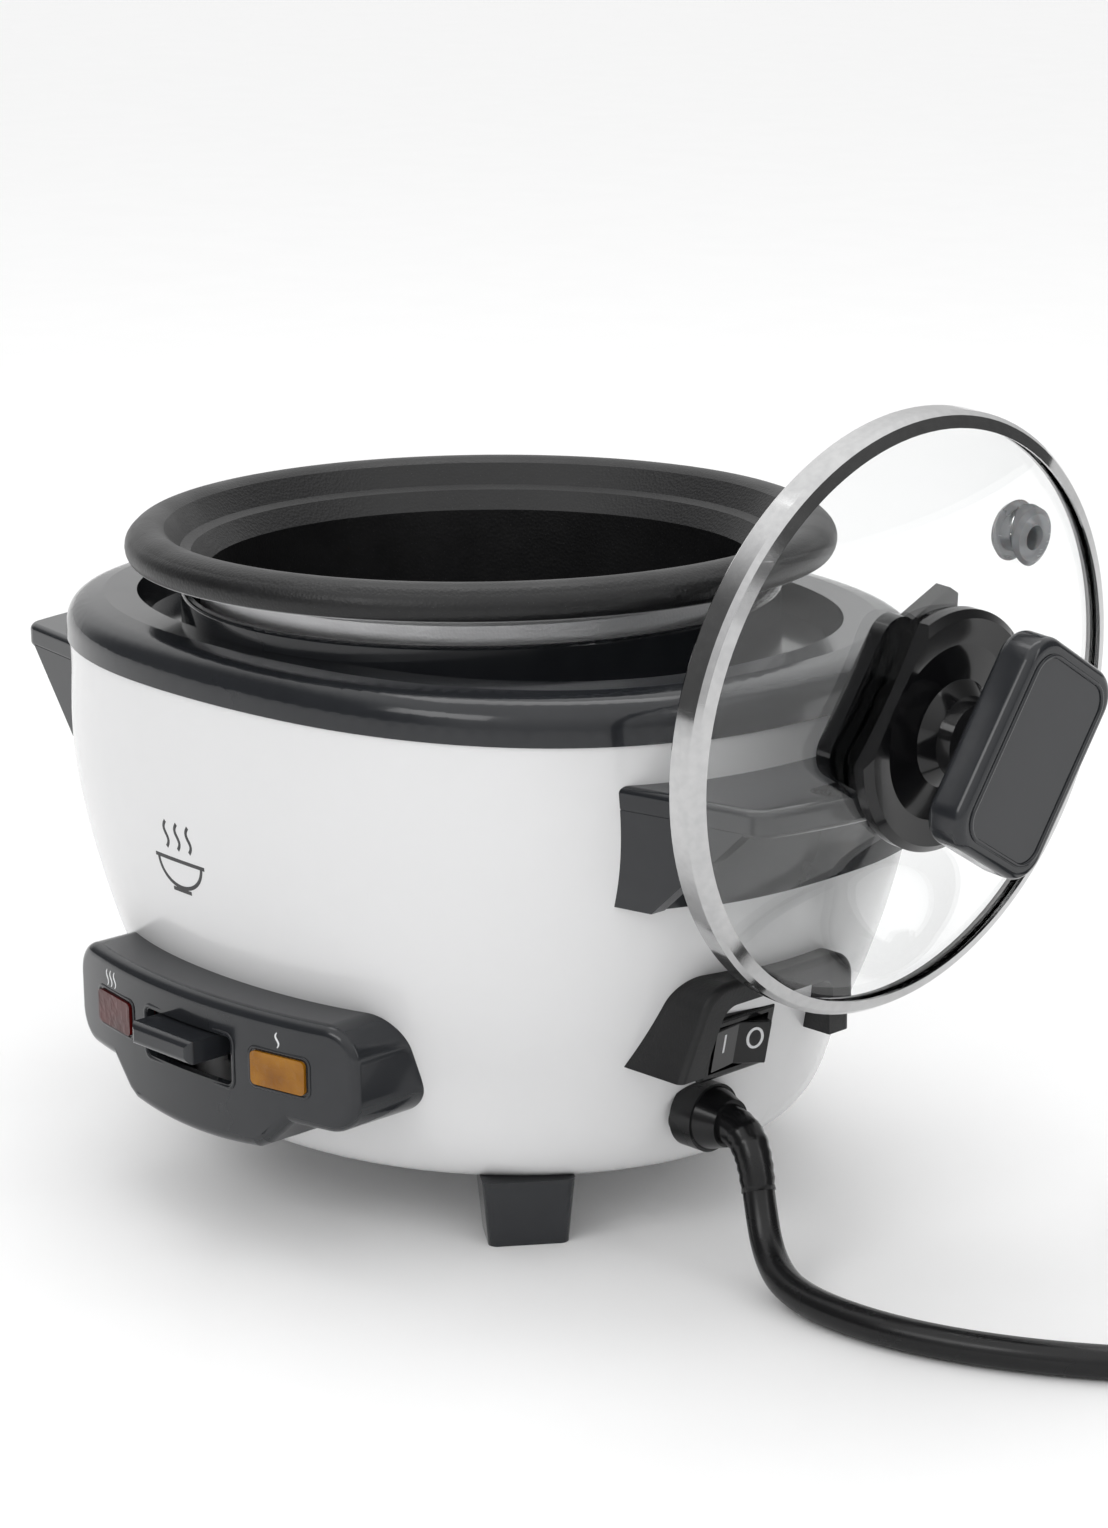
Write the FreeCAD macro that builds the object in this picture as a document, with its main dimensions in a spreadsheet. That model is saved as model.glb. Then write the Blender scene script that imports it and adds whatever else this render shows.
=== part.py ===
import FreeCAD, Part
import math
import os
import Sketcher

V = FreeCAD.Vector

# ---------------------------------------------------------------------------
# Driving dimensions, in millimetres (angles in degrees). The origin is on the
# floor below the cooker's axis, +Z up; the control panel faces -Y, the switch
# and the cord are on +X, and the lid is parked on the +X handle.
# ---------------------------------------------------------------------------
SIZES = [
    ("shell_long", 102.0, "outer shell half length along X at its top"),
    ("shell_short", 81.0, "outer shell half width along Y at its top"),
    ("shell_base_long", 79.0, "half length along X at the shell's bottom"),
    ("shell_base_short", 69.5, "half width along Y at the shell's bottom"),
    ("shell_top", 118.5, "height of the joint between shell and top ring"),
    ("shell_bottom", 14.0, "height of the shell's bottom"),
    ("taper_start", 95.0, "height below which the shell tapers"),
    ("shell_wall", 0.9, "steel thickness"),
    ("bottom_round", 9.0, "radius between shell wall and bottom"),
    ("ring_band", 5.5, "upright band of the top ring"),
    ("ring_height", 10.0, "top ring's height above the shell"),
    ("ring_crown", 8.0, "width of the ring's rounded shoulder"),
    ("recess_inset", 15.5, "from the ring's outside to the moat"),
    ("moat_depth", 7.0, "depth of the moat"),
    ("ring_wall", 2.0, "plastic thickness of the top ring"),
    ("collar_inner", 66.8, "inner radius of the ring's collar"),
    ("collar_wall", 1.8, "collar thickness"),
    ("collar_top", 133.0, "height of the collar's lip"),
    ("pot_outer", 64.2, "outer radius of the pot's wall"),
    ("pot_wall", 1.5, "pot thickness"),
    ("pot_base", 40.0, "height of the pot's underside"),
    ("pot_round", 9.0, "radius between pot wall and base"),
    ("rim_crest", 74.5, "radius of the rim's crest"),
    ("rim_reach", 80.8, "outer radius of the rolled rim"),
    ("rim_top", 148.3, "height of the rim's crest"),
    ("rim_drop", 7.6, "height of the rolled rim"),
    ("well_gap", 1.2, "gap between pot and inner well"),
    ("well_wall", 0.6, "inner well thickness"),
    ("well_floor", 30.0, "height of the inner well's floor"),
    ("heater_radius", 57.0, "heating plate radius"),
    ("heater_thick", 8.0, "heating plate thickness"),
    ("sensor_radius", 15.0, "thermostat cap radius"),
    ("sensor_gap", 0.3, "gap between thermostat cap and pot"),
    ("foot_screw_share", 0.93, "foot screw radius as a share of the foot radius"),
    ("sensor_tall", 6.0, "thermostat cap height"),
    ("magnet_radius", 5.0, "moving magnet radius"),
    ("rod_radius", 1.8, "pull rod radius"),
    ("foot_radius", 67.0, "radius at which the feet stand"),
    ("foot_wide", 21.0, "foot width at its top"),
    ("foot_deep", 17.0, "foot depth at its top"),
    ("foot_taper", 1.6, "foot taper on each side"),
    ("foot_first", -36.0, "direction of the first foot"),
    ("plate_thick", 1.5, "base plate thickness"),
    ("screw_radius", 1.6, "screw shank radius"),
    ("screw_head", 3.2, "screw head radius"),
    ("handle_top", 110.0, "height of the handles' top"),
    ("handle_tall", 26.0, "height of the handle's back plate"),
    ("handle_reach", 129.0, "X at the middle of the handle's edge"),
    ("handle_corner", 122.5, "X at the handle's corners"),
    ("handle_half", 46.0, "half length of the handle at the wall"),
    ("handle_tip_half", 39.5, "half length of the handle at its corners"),
    ("handle_lip", 6.0, "thickness of the handle's lip"),
    ("handle_back", 4.0, "thickness of the handle's back plate"),
    ("handle_wing", 3.5, "thickness of the handle's side wings"),
    ("slot_reach", 121.8, "X at the middle of the lid slot"),
    ("slot_wide", 7.6, "width of the lid slot"),
    ("slot_half", 21.0, "half length of the lid slot"),
    ("hood_centre", -9.0, "Y at the middle of the switch hood"),
    ("hood_front", 103.0, "X of the hood's front"),
    ("hood_top", 65.5, "height of the hood's top"),
    ("hood_bottom", 44.5, "height of the hood's feet"),
    ("hood_half_top", 21.5, "half width of the hood at its top"),
    ("hood_half_low", 26.5, "half width of the hood at its feet"),
    ("hood_wall", 5.5, "thickness of the hood"),
    ("switch_side", -12.6, "Y at the middle of the switch"),
    ("switch_height", 47.0, "height of the middle of the switch"),
    ("switch_face", 93.0, "X of the switch bezel's face"),
    ("bezel_long", 21.0, "bezel length along Y"),
    ("bezel_tall", 15.0, "bezel height"),
    ("bezel_thick", 2.2, "bezel thickness"),
    ("switch_lean", 12.0, "lean of the switch, top outwards"),
    ("rocker_long", 14.4, "rocker length along Y"),
    ("rocker_tall", 10.4, "rocker height"),
    ("switch_deep", 16.0, "depth of the switch body behind its bezel"),
    ("gland_side", -17.0, "Y of the cord gland"),
    ("gland_height", 30.5, "height of the cord gland"),
    ("gland_radius", 7.6, "gland collar radius"),
    ("cord_width", 7.0, "cord diameter"),
    ("panel_half", 48.0, "half length of the control panel"),
    ("panel_top", 55.5, "height of the panel's top"),
    ("panel_low", 31.5, "height of the panel's lower edge"),
    ("tab_low", 24.0, "height of the tab's lower edge"),
    ("tab_half", 24.0, "half length of the tab's lower edge"),
    ("panel_front", 89.5, "distance of the panel's front from the axis"),
    ("panel_curve", 160.0, "radius of the panel's front in plan"),
    ("panel_wall", 2.0, "panel thickness"),
    ("panel_round", 8.0, "panel corner radius"),
    ("slot_long_half", 14.7, "half length of the lever slot"),
    ("slot_tall_half", 5.5, "half height of the lever slot"),
    ("slot_height", 42.4, "height of the middle of the lever slot"),
    ("lens_side", 28.5, "X of the lamps either side"),
    ("lens_height", 43.0, "height of the lamps"),
    ("lens_long", 15.0, "lamp lens length"),
    ("lens_tall", 7.6, "lamp lens height"),
    ("lever_half", 10.2, "half width of the cook lever"),
    ("lever_thick", 5.2, "cook lever thickness"),
    ("lever_front", 97.0, "distance of the lever's front from the axis"),
    ("pivot_side", 45.0, "distance of the lever's pivot from the axis"),
    ("pivot_height", 24.5, "height of the lever's pivot"),
    ("pin_radius", 1.5, "pivot pin radius"),
    ("pin_play", 0.05, "radial clearance on the pivot pin"),
    ("arm_half", 5.0, "half width of the lever arm"),
    ("arm_thick", 1.2, "lever arm thickness"),
    ("lid_radius", 63.9, "radius of the lid's steel rim"),
    ("lid_height", 123.3, "height of the parked lid's centre"),
    ("lid_reach", 124.3, "X of the parked lid's centre"),
    ("lid_lean", 5.0, "lean of the parked lid, top outwards"),
    ("lid_turn", 31.0, "turn of the lid's knob from upright"),
    ("rim_wide", 5.4, "width of the lid's steel band"),
    ("dome_rise", 14.0, "rise of the glass dome above the rim"),
    ("glass_thick", 3.5, "glass thickness"),
    ("vent_radius", 45.0, "distance of the vent from the lid's centre"),
    ("vent_turn", 38.0, "direction of the vent from upright"),
    ("flange_radius", 25.5, "knob flange radius"),
    ("flange_half", 20.0, "half width between the flange's flats"),
    ("stem_radius", 8.0, "knob stem radius"),
    ("stem_top", 29.0, "height of the stem above the rim plane"),
    ("grip_long", 46.0, "grip length"),
    ("grip_wide", 31.0, "grip width"),
    ("grip_thick", 9.0, "grip thickness"),
    ("hanger_long", 36.0, "lid hanger length"),
    ("hanger_wide", 30.0, "lid hanger width"),
    ("hanger_thick", 3.6, "lid hanger thickness"),
    ("hanger_nose", 28.0, "hanger nose's distance from the centre"),
    ("coil_x", 190.0, "X of the coiled cord"),
    ("coil_y", 88.0, "Y of the coiled cord"),
    ("coil_mean", 39.0, "mean radius of the coiled cord"),
    ("coil_wide", 15.0, "width of the coiled bundle"),
    ("coil_tall", 15.0, "height of the coiled bundle"),
]

doc = FreeCAD.newDocument("rice_cooker")
sheet = doc.addObject("Spreadsheet::Sheet", "Sizes")
for row, (alias, number, meaning) in enumerate(SIZES, start=1):
    sheet.set(f"A{row}", meaning)
    sheet.set(f"B{row}", str(number))
    sheet.setAlias(f"B{row}", alias)
doc.recompute()


class Size:
    """A number from the sheet, which keeps its formula while it is worked with."""

    def __init__(self, value, formula):
        self.value = float(value)
        self.formula = formula

    def __add__(self, other):
        other = as_size(other)
        return Size(self.value + other.value, f"({self.formula} + {other.formula})")

    def __sub__(self, other):
        other = as_size(other)
        return Size(self.value - other.value, f"({self.formula} - {other.formula})")

    def __mul__(self, other):
        other = as_size(other)
        return Size(self.value * other.value, f"({self.formula} * {other.formula})")

    def __truediv__(self, other):
        other = as_size(other)
        return Size(self.value / other.value, f"({self.formula} / {other.formula})")

    def __radd__(self, other):
        return as_size(other) + self

    def __rsub__(self, other):
        return as_size(other) - self

    def __rmul__(self, other):
        return as_size(other) * self

    def __neg__(self):
        return as_size(0) - self

    def __float__(self):
        return self.value


def as_size(number):
    """A Size as it is, or a plain number as a Size."""
    if isinstance(number, Size):
        return number
    return Size(number, repr(float(number)))


size = {name: Size(sheet.get(name), f"Sizes.{name}") for name, _, _ in SIZES}
mm = {name: item.value for name, item in size.items()}
parts = []


# ---------------------------------------------------------------------------
# Helpers: every one makes document objects or plain shapes
# ---------------------------------------------------------------------------
def keep(obj, label):
    """Name an object as a finished sub-part."""
    obj.Label = label
    parts.append(obj)
    return obj


def bind(obj, **values):
    """Set an object's properties from Sizes, and bind each to its formula."""
    for name, value in values.items():
        value = as_size(value)
        setattr(obj, name, value.value)
        obj.setExpression(name, value.formula)
    return obj


def place(obj, x=0, y=0, z=0, rotation=None):
    """Place an object, with its position bound to the sheet."""
    x, y, z = as_size(x), as_size(y), as_size(z)
    turn = rotation or FreeCAD.Rotation()
    obj.Placement = FreeCAD.Placement(V(x.value, y.value, z.value), turn)
    obj.setExpression("Placement.Base.x", x.formula)
    obj.setExpression("Placement.Base.y", y.formula)
    obj.setExpression("Placement.Base.z", z.formula)
    return obj


def cylinder(name, radius, height, x=0, y=0, z=0, rotation=None):
    obj = bind(doc.addObject("Part::Cylinder", name), Radius=radius, Height=height)
    return place(obj, x, y, z, rotation)


def cone(name, low, high, height, x=0, y=0, z=0, rotation=None):
    obj = bind(doc.addObject("Part::Cone", name), Radius1=low, Radius2=high, Height=height)
    return place(obj, x, y, z, rotation)


def box(name, low, high):
    """A box between two corners, each three Sizes."""
    low = [as_size(v) for v in low]
    high = [as_size(v) for v in high]
    obj = doc.addObject("Part::Box", name)
    bind(obj, Length=high[0] - low[0], Width=high[1] - low[1], Height=high[2] - low[2])
    return place(obj, *low)


def cut(name, base, tool):
    obj = doc.addObject("Part::Cut", name)
    obj.Base = base
    obj.Tool = tool
    return obj


def fuse(name, shapes):
    obj = doc.addObject("Part::MultiFuse", name)
    obj.Shapes = shapes
    return obj


def group(name, shapes):
    """Separate solids kept together in one sub-part."""
    obj = doc.addObject("Part::Compound", name)
    obj.Links = shapes
    return obj


def rounded(name, base, radius, chosen):
    """A fillet on the edges that chosen(edge) picks."""
    doc.recompute()
    obj = doc.addObject("Part::Fillet", name)
    obj.Base = base
    edges = base.Shape.Edges
    obj.Edges = [(i + 1, radius, radius) for i, edge in enumerate(edges) if chosen(edge)]
    return obj


def solid(shape, label, placement=None):
    """A sub-part whose shape is made directly."""
    obj = doc.addObject("Part::Feature", label)
    obj.Shape = shape
    if placement:
        obj.Placement = placement
    return keep(obj, label)


def origin_plane(body, role):
    return next(item for item in body.Origin.OriginFeatures if item.Role == role)


def draw(body, name, plane, corners):
    """A closed sketch of straight lines through corners, each a pair of Sizes."""
    sketch = body.newObject("Sketcher::SketchObject", name)
    sketch.AttachmentSupport = [(origin_plane(body, plane), "")]
    sketch.MapMode = "FlatFace"
    points = [(as_size(a), as_size(b)) for a, b in corners]
    total = len(points)
    for i, (a, b) in enumerate(points):
        c, d = points[(i + 1) % total]
        line = Part.LineSegment(V(a.value, b.value, 0), V(c.value, d.value, 0))
        sketch.addGeometry(line, False)
    for i in range(total):
        sketch.addConstraint(Sketcher.Constraint("Coincident", i, 2, (i + 1) % total, 1))
    for i, (a, b) in enumerate(points):
        for kind, item in (("DistanceX", a), ("DistanceY", b)):
            index = sketch.addConstraint(Sketcher.Constraint(kind, -1, 1, i, 1, item.value))
            sketch.setExpression(f"Constraints[{index}]", item.formula)
    return sketch


def turned(label, corners, fillets=()):
    """A body of revolution about Z from its half section of (radius, height) corners.

    fillets holds (radius, height, fillet) for edges to round.
    """
    body = doc.addObject("PartDesign::Body", label)
    sketch = draw(body, label + "_section", "XZ_Plane", corners)
    doc.recompute()
    turn = body.newObject("PartDesign::Revolution", label + "_turned")
    turn.Profile = sketch
    turn.ReferenceAxis = (sketch, ["V_Axis"])
    turn.Angle = 360
    doc.recompute()
    last = turn
    for number, (radius, height, amount) in enumerate(fillets):
        radius, height = float(as_size(radius)), float(as_size(height))
        names = [f"Edge{i + 1}" for i, edge in enumerate(last.Shape.Edges)
                 if isinstance(edge.Curve, Part.Circle)
                 and abs(edge.Curve.Radius - radius) < 0.01
                 and abs(edge.Curve.Center.z - height) < 0.01]
        if not names:
            raise RuntimeError(f"{label}: no edge at radius {radius}, height {height}")
        soft = body.newObject("PartDesign::Fillet", f"{label}_round{number}")
        soft.Base = (last, names)
        bind(soft, Radius=amount)
        doc.recompute()
        last = soft
    return body


def oval(half_long, half_short, height, power):
    """A closed rounded-oval wire: a superellipse about the Z axis."""
    count = 32
    points = []
    for i in range(count):
        angle = 2 * math.pi * (i + 0.5) / count
        c, s = math.cos(angle), math.sin(angle)
        x = half_long * math.copysign(abs(c) ** (2 / power), c)
        y = half_short * math.copysign(abs(s) ** (2 / power), s)
        points.append(V(x, y, height))
    curve = Part.BSplineCurve()
    curve.interpolate(points, PeriodicFlag=True)
    return Part.Wire([curve.toShape()])


def stack(sections):
    """A solid through ovals, each (half_long, half_short, height, power)."""
    return Part.makeLoft([oval(*section) for section in sections], True, False)


def flat_face(points):
    """A face whose outline is straight between points."""
    return Part.Face(Part.makePolygon(points + points[:1]))


def arc(a, b, c):
    return Part.Arc(a, b, c).toShape()


def line(a, b):
    return Part.LineSegment(a, b).toShape()


# ---------------------------------------------------------------------------
# Outer shell, base plate and top ring: an oval that is rounder at the bottom
# ---------------------------------------------------------------------------
TOP_POWER = 2.4
BASE_POWER = 2.0
TAPER_POWER = 1.6
FULL_HEIGHTS = 7


def shell_half(height):
    """The shell's half length, half width and roundness at a height."""
    low, start = mm["shell_bottom"], mm["taper_start"]
    part = max(0.0, (start - height) / (start - low)) ** TAPER_POWER
    long = mm["shell_long"] + (mm["shell_base_long"] - mm["shell_long"]) * part
    short = mm["shell_short"] + (mm["shell_base_short"] - mm["shell_short"]) * part
    return long, short, TOP_POWER + (BASE_POWER - TOP_POWER) * min(1.0, 1.8 * part)


def shell_section(height, inset=0.0):
    """One oval section of the shell, drawn in by inset."""
    long, short, power = shell_half(height)
    return long - inset, short - inset, height, power


def shell_body(inset, first_angle, top):
    """The space inside the shell's surface, drawn in by inset."""
    radius = mm["bottom_round"]
    centre = mm["shell_bottom"] + radius
    sections = []
    for angle in (first_angle, (first_angle + 90) / 2, 90):
        turn = math.radians(angle)
        height = centre - (radius - inset) * math.cos(turn)
        long, short, power = shell_half(height)
        draw_in = radius - (radius - inset) * math.sin(turn)
        sections.append((long - draw_in, short - draw_in, height, power))
    for i in range(1, FULL_HEIGHTS + 1):
        height = centre + (top - centre) * i / FULL_HEIGHTS
        sections.append(shell_section(height, inset))
    return stack(sections)


shell_solid = shell_body(0.0, 15, mm["shell_top"])
shell_room = shell_body(mm["shell_wall"], 15, mm["shell_top"])
shell_floor = mm["shell_bottom"] + mm["bottom_round"] * (1 - math.cos(math.radians(15)))


def centred_block(x_low, x_high, y_low, y_high, z_low, z_high):
    """A plain block between two X, two Y and two Z limits."""
    return Part.makeBox(x_high - x_low, y_high - y_low, z_high - z_low, V(x_low, y_low, z_low))


BEZEL_LAP = 0.9
SWITCH_PLACE = FreeCAD.Placement(V(mm["switch_face"], mm["switch_side"], mm["switch_height"]),
                                 FreeCAD.Rotation(V(0, 1, 0), mm["switch_lean"]))


def on_wall(shape):
    """Move a shape drawn with its face at the origin, facing +X, onto the shell."""
    moved = shape.copy()
    moved.Placement = SWITCH_PLACE * shape.Placement
    return moved


def foot_screw_spots():
    """The axis of each foot's screw, on the floor."""
    spots = []
    for turn in range(3):
        angle = math.radians(mm["foot_first"] + 120 * turn)
        reach = mm["foot_radius"] * mm["foot_screw_share"]
        spots.append(V(reach * math.cos(angle), reach * math.sin(angle), 0))
    return spots


def outer_shell():
    """The drawn shell, open at the top and the bottom, with its holes."""
    wall = shell_solid.cut(shell_room)
    bottom = shell_solid.common(Part.makeBox(400, 400, 2.0, V(-200, -200, 0)).translated(
        V(0, 0, shell_floor - 1.0)))
    wall = wall.cut(bottom.common(shell_room))
    half = mm["arm_half"] + 2
    lever_hole = centred_block(-half, half, -mm["shell_short"] - 5, -mm["shell_short"] + 15,
                               mm["slot_height"] - 9, mm["slot_height"] + 7)
    long_half, tall_half = mm["bezel_long"] / 2 - BEZEL_LAP, mm["bezel_tall"] / 2 - BEZEL_LAP
    switch_hole = on_wall(centred_block(-30, 5, -long_half, long_half, -tall_half, tall_half))
    cord_hole = Part.makeCylinder(mm["gland_radius"] - 2, 40,
                                  V(70, mm["gland_side"], mm["gland_height"]), V(1, 0, 0))
    holes = [screw_rod(spot, way, mm["screw_radius"] + 0.2) for spot, way in handle_screw_spots()]
    holes += [Part.makeCylinder(mm["screw_radius"] + 0.2, 60, spot) for spot in foot_screw_spots()]
    return wall.cut([lever_hole, switch_hole, cord_hole] + holes)


def handle_screw_spots():
    """Where each handle screw crosses the shell, and its outward direction."""
    spots = []
    height = mm["handle_top"] - mm["handle_tall"] / 2
    long, short, power = shell_half(height)
    for side in (-1, 1):
        for y in (-30.0, 30.0):
            wall_x = long * (1 - (abs(y) / short) ** power) ** (1 / power)
            spots.append((V(side * wall_x, y, height), V(side, 0, 0)))
    return spots


def screw_rod(spot, way, radius):
    """The straight shank of a handle screw, through the shell into the handle."""
    return Part.makeCylinder(radius, 7.0, spot - way * 4.0, way)


solid(outer_shell(), "outer_shell")


def base_plate():
    """The flat steel plate that closes the shell's bottom."""
    slab = centred_block(-200, 200, -200, 200, PLATE_LOW, PLATE_LOW + mm["plate_thick"])
    return shell_room.common(slab).cut([Part.makeCylinder(mm["screw_radius"], 60, spot)
                                        for spot in foot_screw_spots()])


PLATE_LOW = shell_room.BoundBox.ZMin
solid(base_plate(), "base_plate")


def top_ring():
    """The gloss ring: an outer band, a crowned rim, a moat and the collar round the pot."""
    base, high = mm["shell_top"], mm["shell_top"] + mm["ring_height"]
    long, short, power = shell_half(base)
    band, crown = mm["ring_band"], mm["ring_crown"]
    proud = 0.5
    outline = [(-proud, 0), (-proud + 0.1, band * 0.5), (0.1, band),
               (crown * 0.22, band + (mm["ring_height"] - band) * 0.55),
               (crown * 0.6, band + (mm["ring_height"] - band) * 0.88),
               (crown, mm["ring_height"])]
    outside = stack([(long - inset, short - inset, base + rise, power) for inset, rise in outline])
    moat_floor = high - mm["moat_depth"]
    inset = mm["recess_inset"]
    moat = stack([(long - inset - 1.5, short - inset - 1.5, moat_floor, power),
                  (long - inset - 0.5, short - inset - 0.5, moat_floor + 3.5, power),
                  (long - inset + 0.3, short - inset + 0.3, high + 0.5, power)])
    wall = mm["ring_wall"]
    under_top = high - wall - 0.6
    under = stack([(long - 2.6, short - 2.6, base - 0.5, power),
                   (long - 2.8, short - 2.8, base + band - 1.0, power),
                   (long - crown, short - crown, under_top, power)])
    core = stack([(long - inset + 0.6, short - inset + 0.6, base - 1, power),
                  (long - inset + 2.2, short - inset + 2.2, under_top + 1, power)])
    low_slab = centred_block(-200, 200, -200, 200, base - 1, moat_floor - wall)
    ring = outside.cut(moat).cut(under.cut(core)).cut(under.common(low_slab))
    inner = Part.makeCylinder(mm["collar_inner"], 60, V(0, 0, base - 20))
    collar = Part.makeCylinder(mm["collar_inner"] + mm["collar_wall"],
                               mm["collar_top"] - moat_floor + wall, V(0, 0, moat_floor - wall))
    collar = collar.makeFillet(0.8, [e for e in collar.Edges
                                     if isinstance(e.Curve, Part.Circle)
                                     and e.Curve.Center.z > mm["collar_top"] - 0.1])
    return ring.fuse(collar).cut(inner)


solid(top_ring(), "top_ring")


# ---------------------------------------------------------------------------
# Pot, inner well, heating plate and thermostat
# ---------------------------------------------------------------------------
def pot():
    """A deep drawn pot: a round-cornered can whose rim flares, steps and rolls over."""
    wall, outer, base = mm["pot_wall"], mm["pot_outer"], mm["pot_base"]
    inner = outer - wall
    top, reach, crest = mm["rim_top"], mm["rim_reach"], mm["rim_crest"]
    drop, rounding = mm["rim_drop"], mm["pot_round"]
    neck, ledge = top - 11.3, top - 6.6
    diag = math.sqrt(0.5)

    def p(radius, height):
        return V(radius, 0, height)

    corner_in, corner_out = rounding - wall, rounding
    edges = [
        line(p(0, base), p(outer - corner_out, base)),
        arc(p(outer - corner_out, base),
            p(outer - corner_out * (1 - diag), base + corner_out * (1 - diag)),
            p(outer, base + corner_out)),
        line(p(outer, base + corner_out), p(outer, neck - 0.6)),
        line(p(outer, neck - 0.6), p(outer + 3.0, ledge - 1.7)),
        line(p(outer + 3.0, ledge - 1.7), p(outer + 5.3, ledge - 1.0)),
        line(p(outer + 5.3, ledge - 1.0), p(crest - 1.9, top - wall - 1.4)),
        arc(p(crest - 1.9, top - wall - 1.4), p(crest + 0.7, top - wall), p(crest + 3.2, top - wall - 1.0)),
        arc(p(crest + 3.2, top - wall - 1.0), p(reach - wall - 0.2, top - 4.2),
            p(reach - wall - 0.6, top - drop)),
        line(p(reach - wall - 0.6, top - drop), p(reach - 0.8, top - drop)),
        arc(p(reach - 0.8, top - drop), p(reach, top - 4.6), p(reach - 1.6, top - 1.8)),
        arc(p(reach - 1.6, top - 1.8), p(crest + 1.0, top), p(crest - 2.6, top - 1.3)),
        line(p(crest - 2.6, top - 1.3), p(outer + 4.2, ledge + 0.5)),
        line(p(outer + 4.2, ledge + 0.5), p(outer + 1.8, ledge - 0.3)),
        line(p(outer + 1.8, ledge - 0.3), p(inner, neck)),
        line(p(inner, neck), p(inner, base + wall + corner_in)),
        arc(p(inner, base + wall + corner_in),
            p(inner - corner_in * (1 - diag), base + wall + corner_in * (1 - diag)),
            p(inner - corner_in, base + wall)),
        line(p(inner - corner_in, base + wall), p(0, base + wall)),
        line(p(0, base + wall), p(0, base)),
    ]
    face = Part.Face(Part.Wire(edges))
    return face.revolve(V(0, 0, 0), V(0, 0, 1), 360)


solid(pot(), "pot")

well_inner = size["pot_outer"] + size["well_gap"]
well_outer = well_inner + size["well_wall"]
well_low = size["well_floor"]
well_high = size["shell_top"] + size["ring_height"] - size["moat_depth"] - size["ring_wall"]
hub_hole = size["magnet_radius"] + 2.5
keep(turned("inner_well", [
    (hub_hole, well_low), (well_outer, well_low), (well_outer, well_high - size["well_wall"]),
    (well_outer + 3.4, well_high - size["well_wall"]), (well_outer + 3.4, well_high),
    (well_inner, well_high), (well_inner, well_low + size["well_wall"]),
    (hub_hole, well_low + size["well_wall"])], [(well_outer, well_low, 3.0)]), "inner_well")

heater_top = size["pot_base"]
heater_low = heater_top - size["heater_thick"]
heater_hole = size["sensor_radius"] + 1.2
heater_foot = well_low + size["well_wall"]
keep(turned("heating_plate", [
    (heater_hole, heater_low), (38, heater_low), (38, heater_foot), (46, heater_foot),
    (46, heater_low), (size["heater_radius"], heater_low), (size["heater_radius"], heater_top),
    (heater_hole, heater_top)]), "heating_plate")

cap_top = size["pot_base"] - size["sensor_gap"]
cap_low = cap_top - size["sensor_tall"]
cap_wall = 1.0
keep(turned("sensor_cap", [
    (0, cap_top), (size["sensor_radius"], cap_top), (size["sensor_radius"], cap_low),
    (size["sensor_radius"] - cap_wall, cap_low), (size["sensor_radius"] - cap_wall, cap_top - cap_wall),
    (0, cap_top - cap_wall)], [(size["sensor_radius"], cap_top, 0.8)]), "sensor_cap")

magnet_top = size["well_floor"] + 2.4
collar_low = size["pivot_height"] + 1.2
keep(turned("pull_magnet", [
    (size["rod_radius"], magnet_top - 3.5), (size["magnet_radius"], magnet_top - 3.5),
    (size["magnet_radius"], magnet_top), (size["rod_radius"], magnet_top)]), "pull_magnet")
keep(turned("pull_rod", [
    (0, collar_low), (4.0, collar_low), (4.0, collar_low + 1.0), (size["rod_radius"], collar_low + 1.0),
    (size["rod_radius"], magnet_top), (0, magnet_top)]), "pull_rod")

SPRING_TURNS = 2.5
SPRING_STEPS = 20
SPRING_WIRE = 0.45
SPRING_RADIUS = 11.0


def sensor_spring():
    """A coil spring of short ruled lengths of wire between equally turned sections."""
    low = float(heater_foot) + SPRING_WIRE
    rise = float(cap_top) - 1.0 - SPRING_WIRE - low
    steps = int(SPRING_TURNS * SPRING_STEPS)
    climb = math.atan2(rise, 2 * math.pi * SPRING_RADIUS * SPRING_TURNS)
    sections = []
    for i in range(steps + 1):
        angle = 2 * math.pi * SPRING_TURNS * i / steps
        centre = V(SPRING_RADIUS * math.cos(angle), SPRING_RADIUS * math.sin(angle), low + rise * i / steps)
        along = V(-math.sin(angle) * math.cos(climb), math.cos(angle) * math.cos(climb), math.sin(climb))
        sections.append(Part.Wire([Part.Circle(centre, along, SPRING_WIRE).toShape()]))
    return Part.makeLoft(sections, True, True)


solid(sensor_spring(), "sensor_spring")

terminals = [cylinder(f"terminal_{side + 1}", 2.0, heater_low - well_low + 7, 52 * side, 0, well_low - 7)
             for side in (-1, 1)]
keep(group("element_terminals", terminals), "element_terminals")


# ---------------------------------------------------------------------------
# Feet and their screws
# ---------------------------------------------------------------------------
def foot_shape():
    """A tapered block that stands on the floor, centred on its own origin."""
    wide, deep, taper = mm["foot_wide"], mm["foot_deep"], mm["foot_taper"]

    def slab(shrink, height):
        x, y = deep / 2 - shrink, wide / 2 - shrink
        face = flat_face([V(-x, -y, height), V(x, -y, height), V(x, y, height), V(-x, y, height)])
        return face.OuterWire

    block = Part.makeLoft([slab(taper, 0), slab(0, FOOT_TALL)], True, True)
    upright = [e for e in block.Edges if abs(e.BoundBox.ZLength - FOOT_TALL) < 0.01]
    return block.makeFillet(2.0, upright)


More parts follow.
